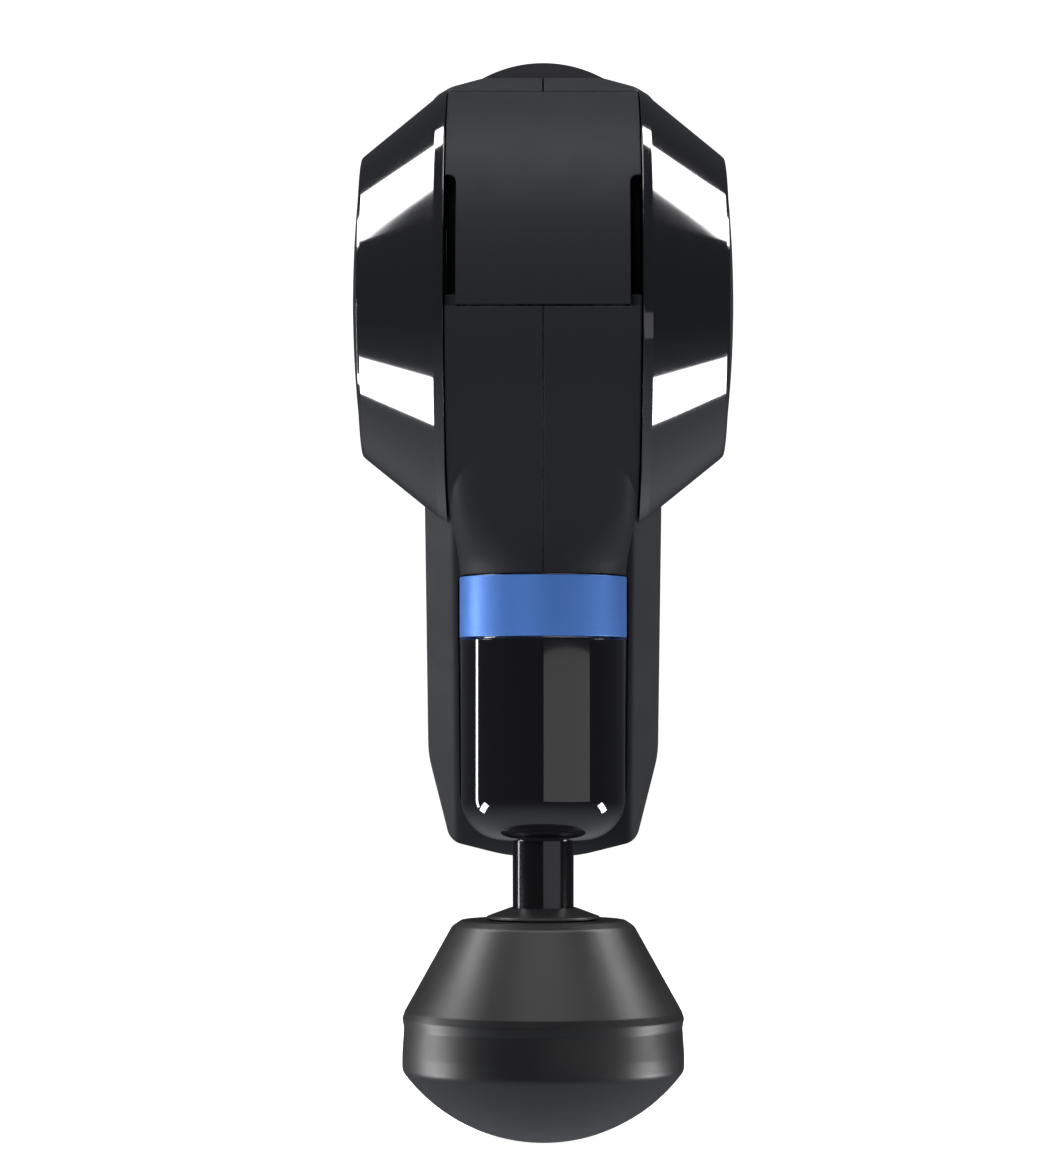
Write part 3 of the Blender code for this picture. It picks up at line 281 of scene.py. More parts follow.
class Paint:
    """A node material with a Principled shader and helpers for its fine structure."""

    def __init__(self, name, colour, roughness, metallic=0.0, **sockets):
        self.material = bpy.data.materials.new(name)
        self.material.use_nodes = True
        self.nodes = self.material.node_tree.nodes
        self.links = self.material.node_tree.links
        self.shader = self.nodes["Principled BSDF"]
        self.colour = (*colour, 1.0)
        self.roughness = roughness
        self.set("Base Color", self.colour)
        self.set("Roughness", roughness)
        self.set("Metallic", metallic)
        for key, value in sockets.items():
            self.set(key.replace("_", " "), value)
        self.normal = None
        self.place = self.nodes.new("ShaderNodeTexCoord").outputs["Object"]

    def set(self, socket, value):
        self.shader.inputs[socket].default_value = value

    def noise(self, size_mm, detail=2.0, stretch=(1.0, 1.0, 1.0)):
        mapping = self.nodes.new("ShaderNodeMapping")
        mapping.inputs["Scale"].default_value = stretch
        self.links.new(self.place, mapping.inputs["Vector"])
        noise = self.nodes.new("ShaderNodeTexNoise")
        noise.inputs["Scale"].default_value = 1.0 / (size_mm * MM)
        noise.inputs["Detail"].default_value = detail
        self.links.new(mapping.outputs["Vector"], noise.inputs["Vector"])
        return noise.outputs["Fac"]

    def grain(self, size_mm, depth_mm, strength=1.0, detail=2.0, stretch=(1.0, 1.0, 1.0)):
        """Adds a bump of this size and depth on top of what is there."""
        bump = self.nodes.new("ShaderNodeBump")
        bump.inputs["Strength"].default_value = strength
        bump.inputs["Distance"].default_value = depth_mm * MM
        self.links.new(self.noise(size_mm, detail, stretch), bump.inputs["Height"])
        if self.normal is not None:
            self.links.new(self.normal, bump.inputs["Normal"])
        self.normal = bump.outputs["Normal"]
        self.links.new(self.normal, self.shader.inputs["Normal"])
        return self

    def edges(self, radius_mm):
        """Softens hard edges in the shading."""
        bevel = self.nodes.new("ShaderNodeBevel")
        bevel.samples = 4
        bevel.inputs["Radius"].default_value = radius_mm * MM
        self.normal = bevel.outputs["Normal"]
        self.links.new(self.normal, self.shader.inputs["Normal"])
        return self

    def span(self, fac, low, high, socket):
        """Spreads a 0 to 1 factor over a socket's values."""
        ramp = self.nodes.new("ShaderNodeMapRange")
        ramp.inputs["From Min"].default_value = 0.3
        ramp.inputs["From Max"].default_value = 0.7
        ramp.inputs["To Min"].default_value = low
        ramp.inputs["To Max"].default_value = high
        self.links.new(fac, ramp.inputs["Value"])
        self.links.new(ramp.outputs["Result"], self.shader.inputs[socket])
        return self

    def mottle(self, size_mm, amount, rough_amount=0.0, stretch=(1.0, 1.0, 1.0)):
        """Varies the colour's brightness, and the roughness, over patches of this size."""
        fac = self.noise(size_mm, 3.0, stretch)
        mix = self.nodes.new("ShaderNodeMix")
        mix.data_type = "RGBA"
        mix.inputs[MIX_A].default_value = [c * (1 - amount) for c in self.colour[:3]] + [1.0]
        mix.inputs[MIX_B].default_value = [min(1.0, c * (1 + amount)) for c in self.colour[:3]] + [1.0]
        self.links.new(fac, mix.inputs["Factor"])
        self.links.new(mix.outputs[MIX_OUT], self.shader.inputs["Base Color"])
        if rough_amount:
            self.span(fac, self.roughness - rough_amount, self.roughness + rough_amount, "Roughness")
        return self


PAINTS = {
    "shell_plastic": Paint("moulded_shell", (0.0155, 0.0165, 0.0193), 0.56, Specular_IOR_Level=0.16)
    .edges(0.5).grain(0.45, 0.035, 0.55).mottle(6.0, 0.06, 0.03),
    "pod_plastic": Paint("pod_gloss", (0.008, 0.0084, 0.010), 0.07, Coat_Weight=0.7, Coat_Roughness=0.04)
    .edges(0.25).mottle(14.0, 0.05, 0.01),
    "piano_black": Paint("piano_black", (0.005, 0.005, 0.006), 0.05, Coat_Weight=0.6, Coat_Roughness=0.02)
    .edges(0.2).mottle(16.0, 0.05, 0.01),
    "blue_anodised": Paint("blue_anodised", (0.085, 0.220, 0.640), 0.40, 0.45)
    .edges(0.15).grain(0.5, 0.004, 0.35, stretch=(0.08, 0.08, 3.0)).mottle(9.0, 0.04, 0.02),
    "head_rubber": Paint("head_rubber", (0.005, 0.005, 0.0056), 0.42, Specular_IOR_Level=0.7)
    .grain(0.30, 0.02, 0.5).mottle(8.0, 0.07, 0.03),
    "grip_rubber": Paint("grip_rubber", (0.018, 0.018, 0.0198), 0.58)
    .edges(0.3).grain(0.6, 0.05, 0.5).mottle(5.0, 0.06, 0.03),
    "button_rubber": Paint("button_rubber", (0.05, 0.05, 0.054), 0.6)
    .edges(0.15).grain(0.25, 0.015, 0.5).mottle(3.0, 0.05),
    "seal_rubber": Paint("seal_rubber", (0.012, 0.012, 0.013), 0.5).grain(0.4, 0.02, 0.4),
    "shaft_steel": Paint("black_chrome", (0.045, 0.045, 0.048), 0.14, 0.9)
    .mottle(5.0, 0.05, 0.02, (1.0, 1.0, 0.1)),
    "bright_steel": Paint("ground_steel", (0.56, 0.56, 0.58), 0.30, 1.0)
    .grain(0.4, 0.004, 0.4, stretch=(0.2, 2.0, 2.0)).mottle(3.0, 0.08, 0.05),
    "aluminium": Paint("machined_aluminium", (0.68, 0.69, 0.71), 0.34, 1.0)
    .grain(0.4, 0.004, 0.4, stretch=(2.0, 0.2, 0.2)).mottle(4.0, 0.05, 0.04),
    "copper": Paint("enamelled_copper", (0.62, 0.26, 0.12), 0.35, 1.0)
    .grain(0.7, 0.25, 1.0, stretch=(0.1, 1.0, 1.0)).mottle(2.0, 0.15, 0.05),
    "bronze": Paint("sintered_bronze", (0.48, 0.33, 0.15), 0.42, 1.0)
    .grain(0.15, 0.02, 0.6).mottle(1.5, 0.12, 0.05),
    "cell_wrap": Paint("shrink_wrap", (0.03, 0.20, 0.38), 0.3, Coat_Weight=0.4)
    .grain(6.0, 0.08, 0.3).mottle(9.0, 0.06, 0.03),
    "case_plastic": Paint("case_plastic", (0.02, 0.02, 0.022), 0.5)
    .grain(0.5, 0.02, 0.4).mottle(5.0, 0.05, 0.03),
    "board_green": Paint("solder_mask", (0.015, 0.13, 0.05), 0.35)
    .grain(1.2, 0.04, 0.6).mottle(1.6, 0.25, 0.05),
    "lens_plastic": Paint("smoked_lens", (0.008, 0.008, 0.010), 0.04, Coat_Weight=0.8)
    .mottle(10.0, 0.05, 0.01),
}
MARK = Paint("print_grey", (0.55, 0.56, 0.58), 0.5).mottle(1.0, 0.05, 0.03).material
SATIN = (
    Paint("satin_black", (0.012, 0.012, 0.013), 0.40).edges(0.15).mottle(4.0, 0.05, 0.02).material
)


def show(obj, nodes, body, slot, paint=None):
    """Finishes a piece: smooth shading, its material, its body, and the CAD nodes it stands for."""
    if obj.modifiers:
        drop(*settle(obj))
    mesh = obj.data
    mesh.materials.clear()
    mesh.materials.append(paint or PAINTS[slot].material)
    for face in mesh.polygons:
        face.material_index = 0
    mesh.shade_smooth()
    mesh.set_sharp_from_angle(angle=SHARP)
    weigh = obj.modifiers.new("weighted_normals", "WEIGHTED_NORMAL")
    weigh.keep_sharp = True
    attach(obj, body)
    if nodes:
        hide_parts(*nodes)
    return obj


# ---------------------------------------------------------------- pods and discs

# H is the distance from the middle plane.
POD_IN_H = 18.95
CAP_R = 27.3
CAP_RIM = 36.2
CAP_CROWN = 1.7
CAP_UNDER_H = 34.3
CAP_FLAT_R = 6.0
BUTTON_R = 11.0


def dome(radius):
    return CAP_RIM + CAP_CROWN * (1.0 - (radius / CAP_R) ** 2)


def dome_points(start, end, count):
    return [(r, dome(r)) for r in (start + (end - start) * k / count for k in range(count + 1))]


def make_pod(side):
    """A cone-shaped cover with a seat for its disc, notched where the side plate meets the shell."""
    word = "right" if side > 0 else "left"
    profile = soften([
        (27.6, 36.1, 0.2), (29.8, 36.1, 0.5), (30.4, 35.5, 0.8), (42.2, 20.9, 0.3),
        (43.4, POD_IN_H, 0.2), (40.0, POD_IN_H), (39.5, 21.6), (29.9, 32.6),
        (25.6, 32.6), (25.6, 34.0), (27.6, 34.0),
    ], ring=True)
    pod = lathe(f"{word}_pod_cover", profile, True, along_x(side), steps=FINE)
    low, high = sorted((side * 18.0, side * 21.5))
    cut(pod, box(f"{word}_notch", (low, 34.0, -12.4), (high, 50.0, 12.4)))
    show(pod, [f"{word}_pod"], "body", "pod_plastic")


def make_discs():
    """The domed disc in each pod. The right one is a ring round the release button."""
    rim = [(CAP_R - 0.35, dome(CAP_R - 0.35)), (CAP_R, dome(CAP_R) - 0.3), (CAP_R, CAP_UNDER_H)]
    top = CAP_RIM + CAP_CROWN
    crown = [(0.0, top), (CAP_FLAT_R, top)]
    cap = crown + dome_points(CAP_FLAT_R + 1.0, CAP_R - 0.8, 14) + rim + [(0.0, CAP_UNDER_H)]
    show(
        lathe("left_disc", cap, False, LEFT, steps=160), ["left_pod_cap"], "body", "pod_plastic",
    )
    inner = BUTTON_R + GAP
    ring = [(inner, dome(inner) - 0.25), (inner + 0.25, dome(inner + 0.25))]
    ring += dome_points(inner + 0.8, CAP_R - 0.8, 12) + rim + [(inner, CAP_UNDER_H)]
    show(
        lathe("right_disc", ring, True, RIGHT, steps=160), ["right_pod_ring"], "body", "pod_plastic",
    )
    button = soften([
        (0.0, top - 0.35), (4.6, top - 0.35, 2.0), (CAP_FLAT_R, top, 1.0),
        (8.6, dome(8.6) - 0.02, 1.0), (BUTTON_R, dome(BUTTON_R), 0.5),
        (BUTTON_R, 34.9, 0.2), (4.0, 34.9, 0.2), (4.0, 10.4), (0.0, 10.4),
    ])
    show(
        lathe("release_cap", button, False, RIGHT), ["release_button"], "release", "pod_plastic",
    )


# ---------------------------------------------------------------- handle

HALF = 24.6
CHAMFER = 6.3
WALL = 2.8
COWL_R = 47.0
PLATE_IN = 19.0
PLATE_OUT = 21.2
BOSS_R = 4.2
SCREW_HOLE_R = 1.75
SCREW_SEAT = 14.0
PORT_REAR = 77.5
PANEL = frame_at(107.15, 37.7, -math.atan2(25.3, 20.0))
# Strips: node, frame, low and high ends, half-width, and which way the strip faces along Y.
STRIPS = (
    ("front_grip", frame_at(56.5, -113.0, math.atan2(36.0, 76.0)), 13.0, 68.0, 17.5, -1.0),
    ("rear_grip", frame_at(85.8, -113.0, -math.atan2(32.0, 136.0)), 15.0, 118.0, 16.0, 1.0),
)
GRIP_SINK = 1.7
RIBS = 20
RIB_PITCH = 4.0
RIB_PAUSE = 51.9        # the middle of the plain band between the ribs
# Outlines of the loop and of its opening, in Y and Z.
HANDLE_OUTLINE = [
    (56.5, -113.0, 9.0), (85.8, -113.0, 9.0), (118.0, 24.0, 9.0), (98.0, 49.3, 6.0),
    (9.0, 49.3, 5.0), (2.0, 44.4, 1.0), (2.0, 20.0, 3.0), (20.0, -36.0, 3.0),
]
OPENING_OUTLINE = [(67.4, -73.0, 9.0), (90.4, 24.5, 9.0), (35.0, 24.5, 1.0), (35.0, -4.6, 1.0)]
# The handle as seen from the front, in X and Z.
FRONT_OUTLINE = [
    (-20.0, -108.6, 4.0), (-7.0, -112.0, 30.0), (7.0, -112.0, 30.0), (20.0, -108.6, 4.0),
    (24.6, -90.0, 22.0), (24.6, 38.0, 2.0), (21.9, 44.0, 3.0), (12.0, 47.6, 4.0),
    (-12.0, 47.6, 4.0), (-21.9, 44.0, 3.0), (-24.6, 38.0, 2.0), (-24.6, -90.0, 22.0),
]
# Screw bosses: how far back, how high, and how far out each one reaches.
BOSSES = [(68.0, -100.0, 19.5), (44.0, -58.0, 23.2), (99.7, 5.0, 23.2), (52.0, 37.0, 23.2)]


def handle_half(side):
    """One clamshell of the handle, open towards the middle plane, with its side plate."""
    word = "right" if side > 0 else "left"
    outside = HALF + GAP
    levels = soften([(GAP / 2, 0.0), (outside - CHAMFER, 0.0, 2.5), (outside, CHAMFER)], steps=5)
    shell = stepped(f"{word}_handle_shell", HANDLE_OUTLINE, [(side * x, inset) for x, inset in levels])
    front = slab_xz(f"{word}_front", rounded(FRONT_OUTLINE, step_deg=3.0), -20.0, 140.0)
    cut(shell, front, operation="INTERSECT")

    spread = CHAMFER + PAST
    levels = soften([(-2.0, 0.0), (HALF - CHAMFER, 0.0, 2.5), (HALF + PAST, -spread)], steps=5)
    opening = stepped(f"{word}_opening", OPENING_OUTLINE, [(side * x, inset) for x, inset in levels])
    cowl = cylinder(f"{word}_cowl", COWL_R, -45.0, 45.0, RIGHT)
    cut(opening, cowl)
    drop(*settle(opening))
    cut(shell, opening)

    turn = along_x(side)
    cut(shell, cylinder(f"{word}_drum_room", 43.5, -PAST, POD_IN_H - 0.1, turn))
    low = POD_IN_H - 0.2
    room = [(0.0, 60.0), (30.7, 60.0), (30.7, 35.5), (42.5, 20.9), (43.7, low), (0.0, low)]
    cut(shell, lathe(f"{word}_pod_room", room, False, turn))

    inside = HALF - WALL
    slope = CHAMFER - GAP
    levels = [(-PAST, WALL), (inside - slope, WALL), (inside, WALL + slope)]
    hollow = stepped(f"{word}_hollow", HANDLE_OUTLINE, [(side * x, inset) for x, inset in levels])
    inner = slab_xz(f"{word}_inner", rounded(FRONT_OUTLINE, inset=WALL), -20.0, 140.0)
    cut(hollow, inner, operation="INTERSECT")
    levels = [(-2.0, -WALL), (inside - slope, -WALL), (inside + PAST, -WALL - slope - PAST)]
    lining = stepped(f"{word}_lining", OPENING_OUTLINE, [(side * x, inset) for x, inset in levels])
    collar = cylinder(f"{word}_collar", COWL_R + 0.1, -44.0, 44.0, RIGHT)
    cut(hollow, lining, collar)
    drop(*settle(hollow))
    cut(shell, hollow)

    plate = cylinder(f"{word}_plate", 39.0, PLATE_IN, PLATE_OUT, turn)
    low, high = sorted((side * PLATE_IN, side * PLATE_OUT))
    cut(plate, box(f"{word}_bridge", (low, 30.0, -12.0), (high, 46.0, 12.0)), operation="UNION")
    drop(*settle(plate))
    cut(shell, plate, operation="UNION")
    hole = 21.3 if side < 0 else 11.3
    cut(shell, cylinder(f"{word}_pivot_hole", hole, PLATE_IN - PAST, PLATE_OUT + PAST, turn))

    for number, (rear, up, reach) in enumerate(BOSSES, start=1):
        spot = Matrix.Translation((0.0, rear, up)) @ turn
        boss = cylinder(f"{word}_boss_{number}", BOSS_R, GAP / 2, reach, spot, 24)
        cut(shell, boss, operation="UNION")
        depth = HALF + PAST if side > 0 else SCREW_SEAT
        cut(shell, cylinder(f"{word}_hole_{number}", SCREW_HOLE_R, -PAST, depth, spot, 24))
        if side > 0:
            seat = [(0.0, 26.0), (3.2, 26.0), (3.2, SCREW_SEAT), (0.0, SCREW_SEAT)]
            cut(shell, lathe(f"seat_{number}", seat, False, spot, 40))

    for name, strip, low, high, half, outward in STRIPS:
        near, far = sorted((-outward * GRIP_SINK, outward * PAST))
        outline = box_outline((-half - GAP, low - GAP), (half + GAP, high + GAP), 4.0)
        cut(shell, slab_xz(f"{word}_{name}_recess", outline, near, far, strip))
    seat = box_outline((-12.3, -11.3), (12.3, 11.3), 2.3)
    cut(shell, slab_xy(f"{word}_panel_seat", seat, -1.6, 3.0, PANEL))
    cut(shell, box(f"{word}_panel_window", (-10.8, -8.6, -9.0), (10.8, 8.0, 3.0), PANEL))
    port = Matrix.Translation((0.0, PORT_REAR, 0.0))
    cut(shell, cylinder(f"{word}_port_hole", 4.5, -120.0, -99.0, port, 64))
    show(shell, [f"{word}_shell"], "body", "shell_plastic")


def make_strips():
    """Grips: rubber strips with rounded edges, ribbed across on the rear one."""
    for name, strip, low, high, half, outward in STRIPS:
        # The pad is drawn flat, with its outer face up, and then stood on the leg.
        stand = Matrix.Rotation(math.pi / 2 if outward < 0 else -math.pi / 2, 4, "X")
        span = (low, high) if outward < 0 else (-high, -low)
        grip = pad(
            f"{name}_pad", (-half, span[0], -1.4), (half, span[1], 0.0), 3.7, 0.45, strip @ stand,
        )
        if name == "rear_grip":
            outline = soften([(-0.8, 0.5), (0.0, -0.45, 0.5), (0.8, 0.5)])
            for number in range(RIBS):
                up = low + 12.0 + RIB_PITCH * number
                if abs(up - RIB_PAUSE) <= RIB_PITCH:
                    continue
                spot = strip @ stand @ Matrix.Translation((0.0, -up, 0.0))
                cut(grip, slab_yz(f"groove_{number}", outline, -11.0, 11.0, spot))
        show(grip, [name], "body", "grip_rubber")

    make_crest()


def make_crest():
    """The pad behind the hood: an arched strip that dips into the handle at its rear end."""
    half, low, high = 12.4, 47.9, 51.1
    loops = []
    for k in range(17):
        t = k / 16
        end = max(0.0, 2 * t - 1) ** 8
        rise = (high - low) * (1 - 0.92 * end)
        bow = (half ** 2 + rise ** 2) / (2 * rise)
        reach = math.degrees(math.asin(half / bow))
        rear = 9.0 + 84.5 * math.sin(0.5 * math.pi * t)
        loops.append([
            (x, rear, up) for x, up in arc((0.0, low + rise - bow), bow, 90.0 - reach, 90.0 + reach, 48)
        ])
    show(loft("crest_pad", loops), ["top_grip"], "body", "grip_rubber")


# Buttons: body, distance from the middle, and radius.
BUTTONS = (("power", 0.0, 2.6), ("speed_down", -7.0, 2.3), ("speed_up", 7.0, 2.3))
BUTTON_ROW = 3.5
LENS_ROW = -5.6


def make_panel():
    """Control panel: bezel, lens with its level dots, and three buttons with their marks."""
    bezel = pad("panel_plate", (-12.0, -11.0, -1.3), (12.0, 11.0, 0.0), 2.0, 0.3, PANEL)
    outline = box_outline((-8.0, LENS_ROW - 2.9), (8.0, LENS_ROW + 2.9), 1.0)
    cut(bezel, slab_xy("lens_hole", outline, -2.0, PAST, PANEL))
    for name, across, radius in BUTTONS:
        spot = PANEL @ Matrix.Translation((across, BUTTON_ROW, 0.0))
        cut(bezel, cylinder(f"{name}_hole", radius + GAP, -2.0, PAST, spot, 64))
    show(bezel, ["panel_bezel"], "body", "piano_black")
    lens = pad("display_window", (-7.7, -8.2, -1.2), (7.7, -3.0, -0.1), 0.9, 0.2, PANEL)
    show(lens, ["display_lens"], "body", "lens_plastic")
    for number in range(5):
        spot = PANEL @ Matrix.Translation((-4.8 + 2.4 * number, LENS_ROW, 0.0))
        dot = [(0.0, -0.08), (0.5, -0.08), (0.5, -0.2), (0.0, -0.2)]
        show(
            lathe(f"level_dot_{number}", dot, False, spot, 32), [], "body", "lens_plastic", paint=MARK,
        )

    for body, across, radius in BUTTONS:
        spot = PANEL @ Matrix.Translation((across, BUTTON_ROW, 0.0))
        profile = soften([
            (0.0, 0.6), (radius * 0.5, 0.64, 0.6), (radius - 0.5, 0.8, 0.3), (radius, 0.4, 0.3),
            (radius, -1.6), (radius + 0.7, -1.6), (radius + 0.7, -2.8), (0.0, -2.8),
        ])
        show(lathe(f"{body}_key", profile, False, spot, 64), [f"{body}_button"], body, "button_rubber")
        bars = [(0.75, 0.14)] if body != "power" else [(0.14, 0.62)]
        if body == "speed_up":
            bars.append((0.14, 0.75))
        for number, (wide, tall) in enumerate(bars):
            rise = 0.55 if body == "power" else 0.0
            mark = box(
                f"{body}_mark_{number}", (-wide, rise - tall, 0.5), (wide, rise + tall, 0.74), spot,
            )
            show(mark, [], body, "button_rubber", paint=MARK)
        if body == "power":
            outside = arc((0.0, 0.0), 1.25, 125.0, 415.0, 40)
            inside = arc((0.0, 0.0), 0.95, 415.0, 125.0, 40)
            show(
                slab_xy("power_mark_ring", outside + inside, 0.5, 0.74, spot), [], body,
                "button_rubber", paint=MARK,
            )


def make_fasteners():
    """Countersunk screws with a hexagonal socket, and the charging socket."""
    for number, (rear, up, _) in enumerate(BOSSES, start=1):
        spot = Matrix.Translation((0.0, rear, up)) @ RIGHT
        profile = soften([
            (0.0, 16.4), (2.8, 16.4, 0.4), (2.8, 14.3), (1.45, 14.3), (1.45, -11.5), (0.0, -12.5),
        ])
        screw = lathe(f"case_screw_{number}", profile, False, spot, 48)
        cut(screw, cylinder(f"socket_{number}", 1.3, 15.2, 17.0, spot, 6))
        show(screw, [f"shell_screw_{number}"], "body", "bright_steel")
    port = soften([
        (0.0, -99.3), (4.2, -99.3), (4.2, -110.6, 0.4), (2.7, -110.6, 0.4), (2.7, -102.0), (0.0, -102.0),
    ])
    socket = lathe("charge_socket", port, False, Matrix.Translation((0.0, PORT_REAR, 0.0)), 64)
    show(socket, ["charge_port"], "body", "bright_steel")


# ---------------------------------------------------------------- arm

DRUM_R = 43.0
ARM_HALF = 18.7
CHEEK = 2.3
NECK_LOW = -53.8
FLARE_TOP = -29.0       # where the neck's front leaves the drum
NECK_R = 16.6
HOOD_LOW = -5.5
BORE_R = 13.8


def blend(value):
    value = min(1.0, max(0.0, value))
    return value * value * (3.0 - 2.0 * value)


def neck_loop(up, around=128):
    """A section of the neck: rear side plain, front side flared into the drum."""
    t = blend((-39.0 - up) / (-39.0 - NECK_LOW))
    half_x = 18.6 + (NECK_R - 18.6) * t
    rear = 20.0 + (NECK_R - 20.0) * t
    start = FLARE_TOP
    run = start - NECK_LOW
    y0 = math.sqrt(DRUM_R ** 2 - start ** 2) - 0.05
    slope = start / y0 * run
    s = min(1.0, max(0.0, (start - up) / run))
    front = (
        y0 * (2 * s ** 3 - 3 * s ** 2 + 1) + slope * (s ** 3 - 2 * s ** 2 + s)
        + NECK_R * (3 * s ** 2 - 2 * s ** 3)
    )
    front = max(front, NECK_R)
    power = 8.0 + (2.0 - 8.0) * blend((-33.0 - up) / (-33.0 - NECK_LOW))
    loop = []
    for i in range(around):
        angle = 2 * math.pi * (i + 0.5) / around
        across, deep = math.cos(angle), math.sin(angle)
        x = math.copysign(abs(across) ** (2.0 / power), across) * half_x
        y = math.copysign(abs(deep) ** (2.0 / power), deep) * (rear if deep > 0 else front)
        loop.append((x, y, up))
    return loop


def arm_half(side):
    """One clamshell of the arm: half of the drum with its cheek, and half of the neck."""
    word = "right" if side > 0 else "left"
    edge = soften([
        (0.0, ARM_HALF), (DRUM_R, ARM_HALF, 0.5), (DRUM_R, -ARM_HALF, 0.5), (0.0, -ARM_HALF),
    ])
    shell = lathe(f"{word}_arm_cover", edge, False, RIGHT, steps=240)
    run = FLARE_TOP - NECK_LOW
    heights = [FLARE_TOP + 3.0] + [FLARE_TOP - run * k / 32 for k in range(33)]
    cut(shell, loft(f"{word}_neck", [neck_loop(up) for up in heights]), operation="UNION")
    inside = ARM_HALF - CHEEK
    cut(shell, cylinder(f"{word}_arm_hollow", DRUM_R - 2.5, -inside, inside, RIGHT))
    top = sector(HOOD_LOW - 0.4, 151.0, DRUM_R - 2.5, DRUM_R + 5.0, 4.0)
    cut(shell, slab_yz(f"{word}_arm_top", top, -ARM_HALF - PAST, ARM_HALF + PAST))
    cut(shell, cylinder(f"{word}_neck_bore", BORE_R, -60.0, -32.0))
    eye = 22.6 if side < 0 else 12.4
    cut(shell, cylinder(f"{word}_arm_eye", eye, inside - PAST, ARM_HALF + PAST, along_x(side)))
    low, high = sorted((side * 0.06, side * -30.0))
    cut(shell, box(f"{word}_arm_other", (low, -60.0, -70.0), (high, 60.0, 60.0)))
    low, high = sorted((side * 16.2, side * 19.0))
    cut(shell, box(f"{word}_slot_pocket", (low, -45.0, -2.0), (high, -26.0, 27.0)))
    show(shell, [f"arm_shell_{word}"], "arm", "shell_plastic")


def make_arm():
    """The shells, the slotted hood, the ring, the nose barrel and its seal."""
    for side in (-1, 1):
        arm_half(side)
    hood = slab_yz("hood_cover", sector(HOOD_LOW, 95.0, DRUM_R - 2.2, DRUM_R), -ARM_HALF, ARM_HALF)
    for side in (-1, 1):
        corners = [
            (side * 16.6, -9.0), (side * 20.0, -9.0), (side * 20.0, 21.3), (side * 16.6, 21.3, 2.4),
        ]
        cut(hood, slab_xz(f"slot_{side}", soften(corners, ring=True), -50.0, -30.0))
    show(hood, ["hood"], "arm", "shell_plastic")

    ring = soften([
        (BORE_R, -54.1), (16.7, -54.1, 0.25), (16.7, -66.2, 0.25), (BORE_R, -66.2),
    ], ring=True)
    show(lathe("blue_band", ring, True, steps=FINE), ["blue_ring"], "arm", "blue_anodised")

    corner = arc((8.0, -98.2), 8.4, 0.0, -90.0, 24)
    nose = [(16.15, -66.5), (16.4, -66.75)] + corner + soften([
        (7.6, -106.6), (7.4, -106.6, 0.2), (7.4, -104.6), (9.6, -104.6), (9.6, -98.3),
        (BORE_R, -98.3), (BORE_R, -66.5),
    ])[1:]
    show(lathe("nose_barrel", nose, True, steps=FINE), ["barrel"], "arm", "piano_black")
    seal = soften([
        (9.3, -98.6), (9.3, -104.3), (6.9, -104.3, 0.4), (6.22, -103.0, 0.5), (6.22, -98.6),
    ], ring=True)
    show(lathe("nose_seal", seal, True), ["shaft_seal"], "arm", "seal_rubber")


# ---------------------------------------------------------------- shaft and head


SHAFT_R = 6.1
WRIST_Z = -30.984
HEAD_R = 28.1
HEAD_BELT_LOW = -152.3


def make_shaft():
    profile = soften([
        (0.0, -26.0), (SHAFT_R, -26.0, 0.8), (SHAFT_R, -144.0, 0.8), (0.0, -144.0),
    ])
    shaft = lathe("drive_shaft", profile)
    cut(shaft, box("fork_slot", (-3.0, -10.0, WRIST_Z - 6.5), (3.0, 10.0, -25.0)))
    wrist = Matrix.Translation((0.0, 0.0, WRIST_Z)) @ RIGHT
    cut(shaft, cylinder("wrist_hole", 2.12, -9.0, 9.0, wrist, 48))
    show(shaft, ["output_shaft"], "shaft", "shaft_steel")


def make_head():
    """The collar with its sleeve, and the soft ball with a shallow crease above its belt."""
    collar = soften([
        (6.22, -120.4), (6.6, -120.0, 0.15), (11.2, -121.7, 0.4), (11.4, -122.2), (8.0, -122.2),
        (8.0, -146.6), (0.0, -146.6), (0.0, -144.3), (6.22, -144.3),
    ])
    show(lathe("head_cone", collar), ["head_collar"], "head", "piano_black", paint=SATIN)

    drop_mm = HEAD_BELT_LOW - TIP
    tip_r = (HEAD_R ** 2 + drop_mm ** 2) / (2 * drop_mm)
    reach = math.degrees(math.asin(HEAD_R / tip_r))
    ball = arc((0.0, TIP + tip_r), tip_r, -90.0 + reach * 0.94, -90.0, 40)
    body = soften([
        (8.3, -122.5), (16.4, -122.5, 0.8), (18.2, -123.7, 1.6), (27.6, -140.5, 1.2),
        (HEAD_R, -142.0, 1.0), (HEAD_R - 0.35, -143.8, 1.6), (HEAD_R, -149.0, 8.0),
        (HEAD_R, HEAD_BELT_LOW, 2.6), ball[0],
    ]) + ball[1:-1] + [(0.0, TIP)]
    socket = [(0.0, -146.9), (8.3, -146.9)]
    show(lathe("head_ball", socket + body, steps=FINE), ["head_body"], "head", "head_rubber")


def make_spring():
    """The lock spring, a coil of wire along X."""
    curve = bpy.data.curves.new("spring_line", "CURVE")
    curve.dimensions = "3D"
    curve.bevel_depth = 0.5
    curve.bevel_resolution = 4
    curve.use_fill_caps = True
    turns, per_turn = 3, 40
    low, high = 24.4, 34.2
    coil = curve.splines.new("POLY")
    coil.points.add(turns * per_turn)
    for i, point in enumerate(coil.points):
        angle = 2 * math.pi * i / per_turn
        along = low + (high - low) * i / (turns * per_turn)
        point.co = (along, 5.6 * math.cos(angle), 5.6 * math.sin(angle), 1.0)
    guide = bpy.data.objects.new("spring_line", curve)
    bpy.context.scene.collection.objects.link(guide)
    graph = bpy.context.evaluated_depsgraph_get()
    mesh = bpy.data.meshes.new_from_object(guide.evaluated_get(graph))
    drop(guide)
    mesh.transform(PLACE)
    spring = bpy.data.objects.new("button_spring", mesh)
    bpy.context.scene.collection.objects.link(spring)
    show(spring, ["lock_spring"], "body", "bright_steel")
    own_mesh(spring)


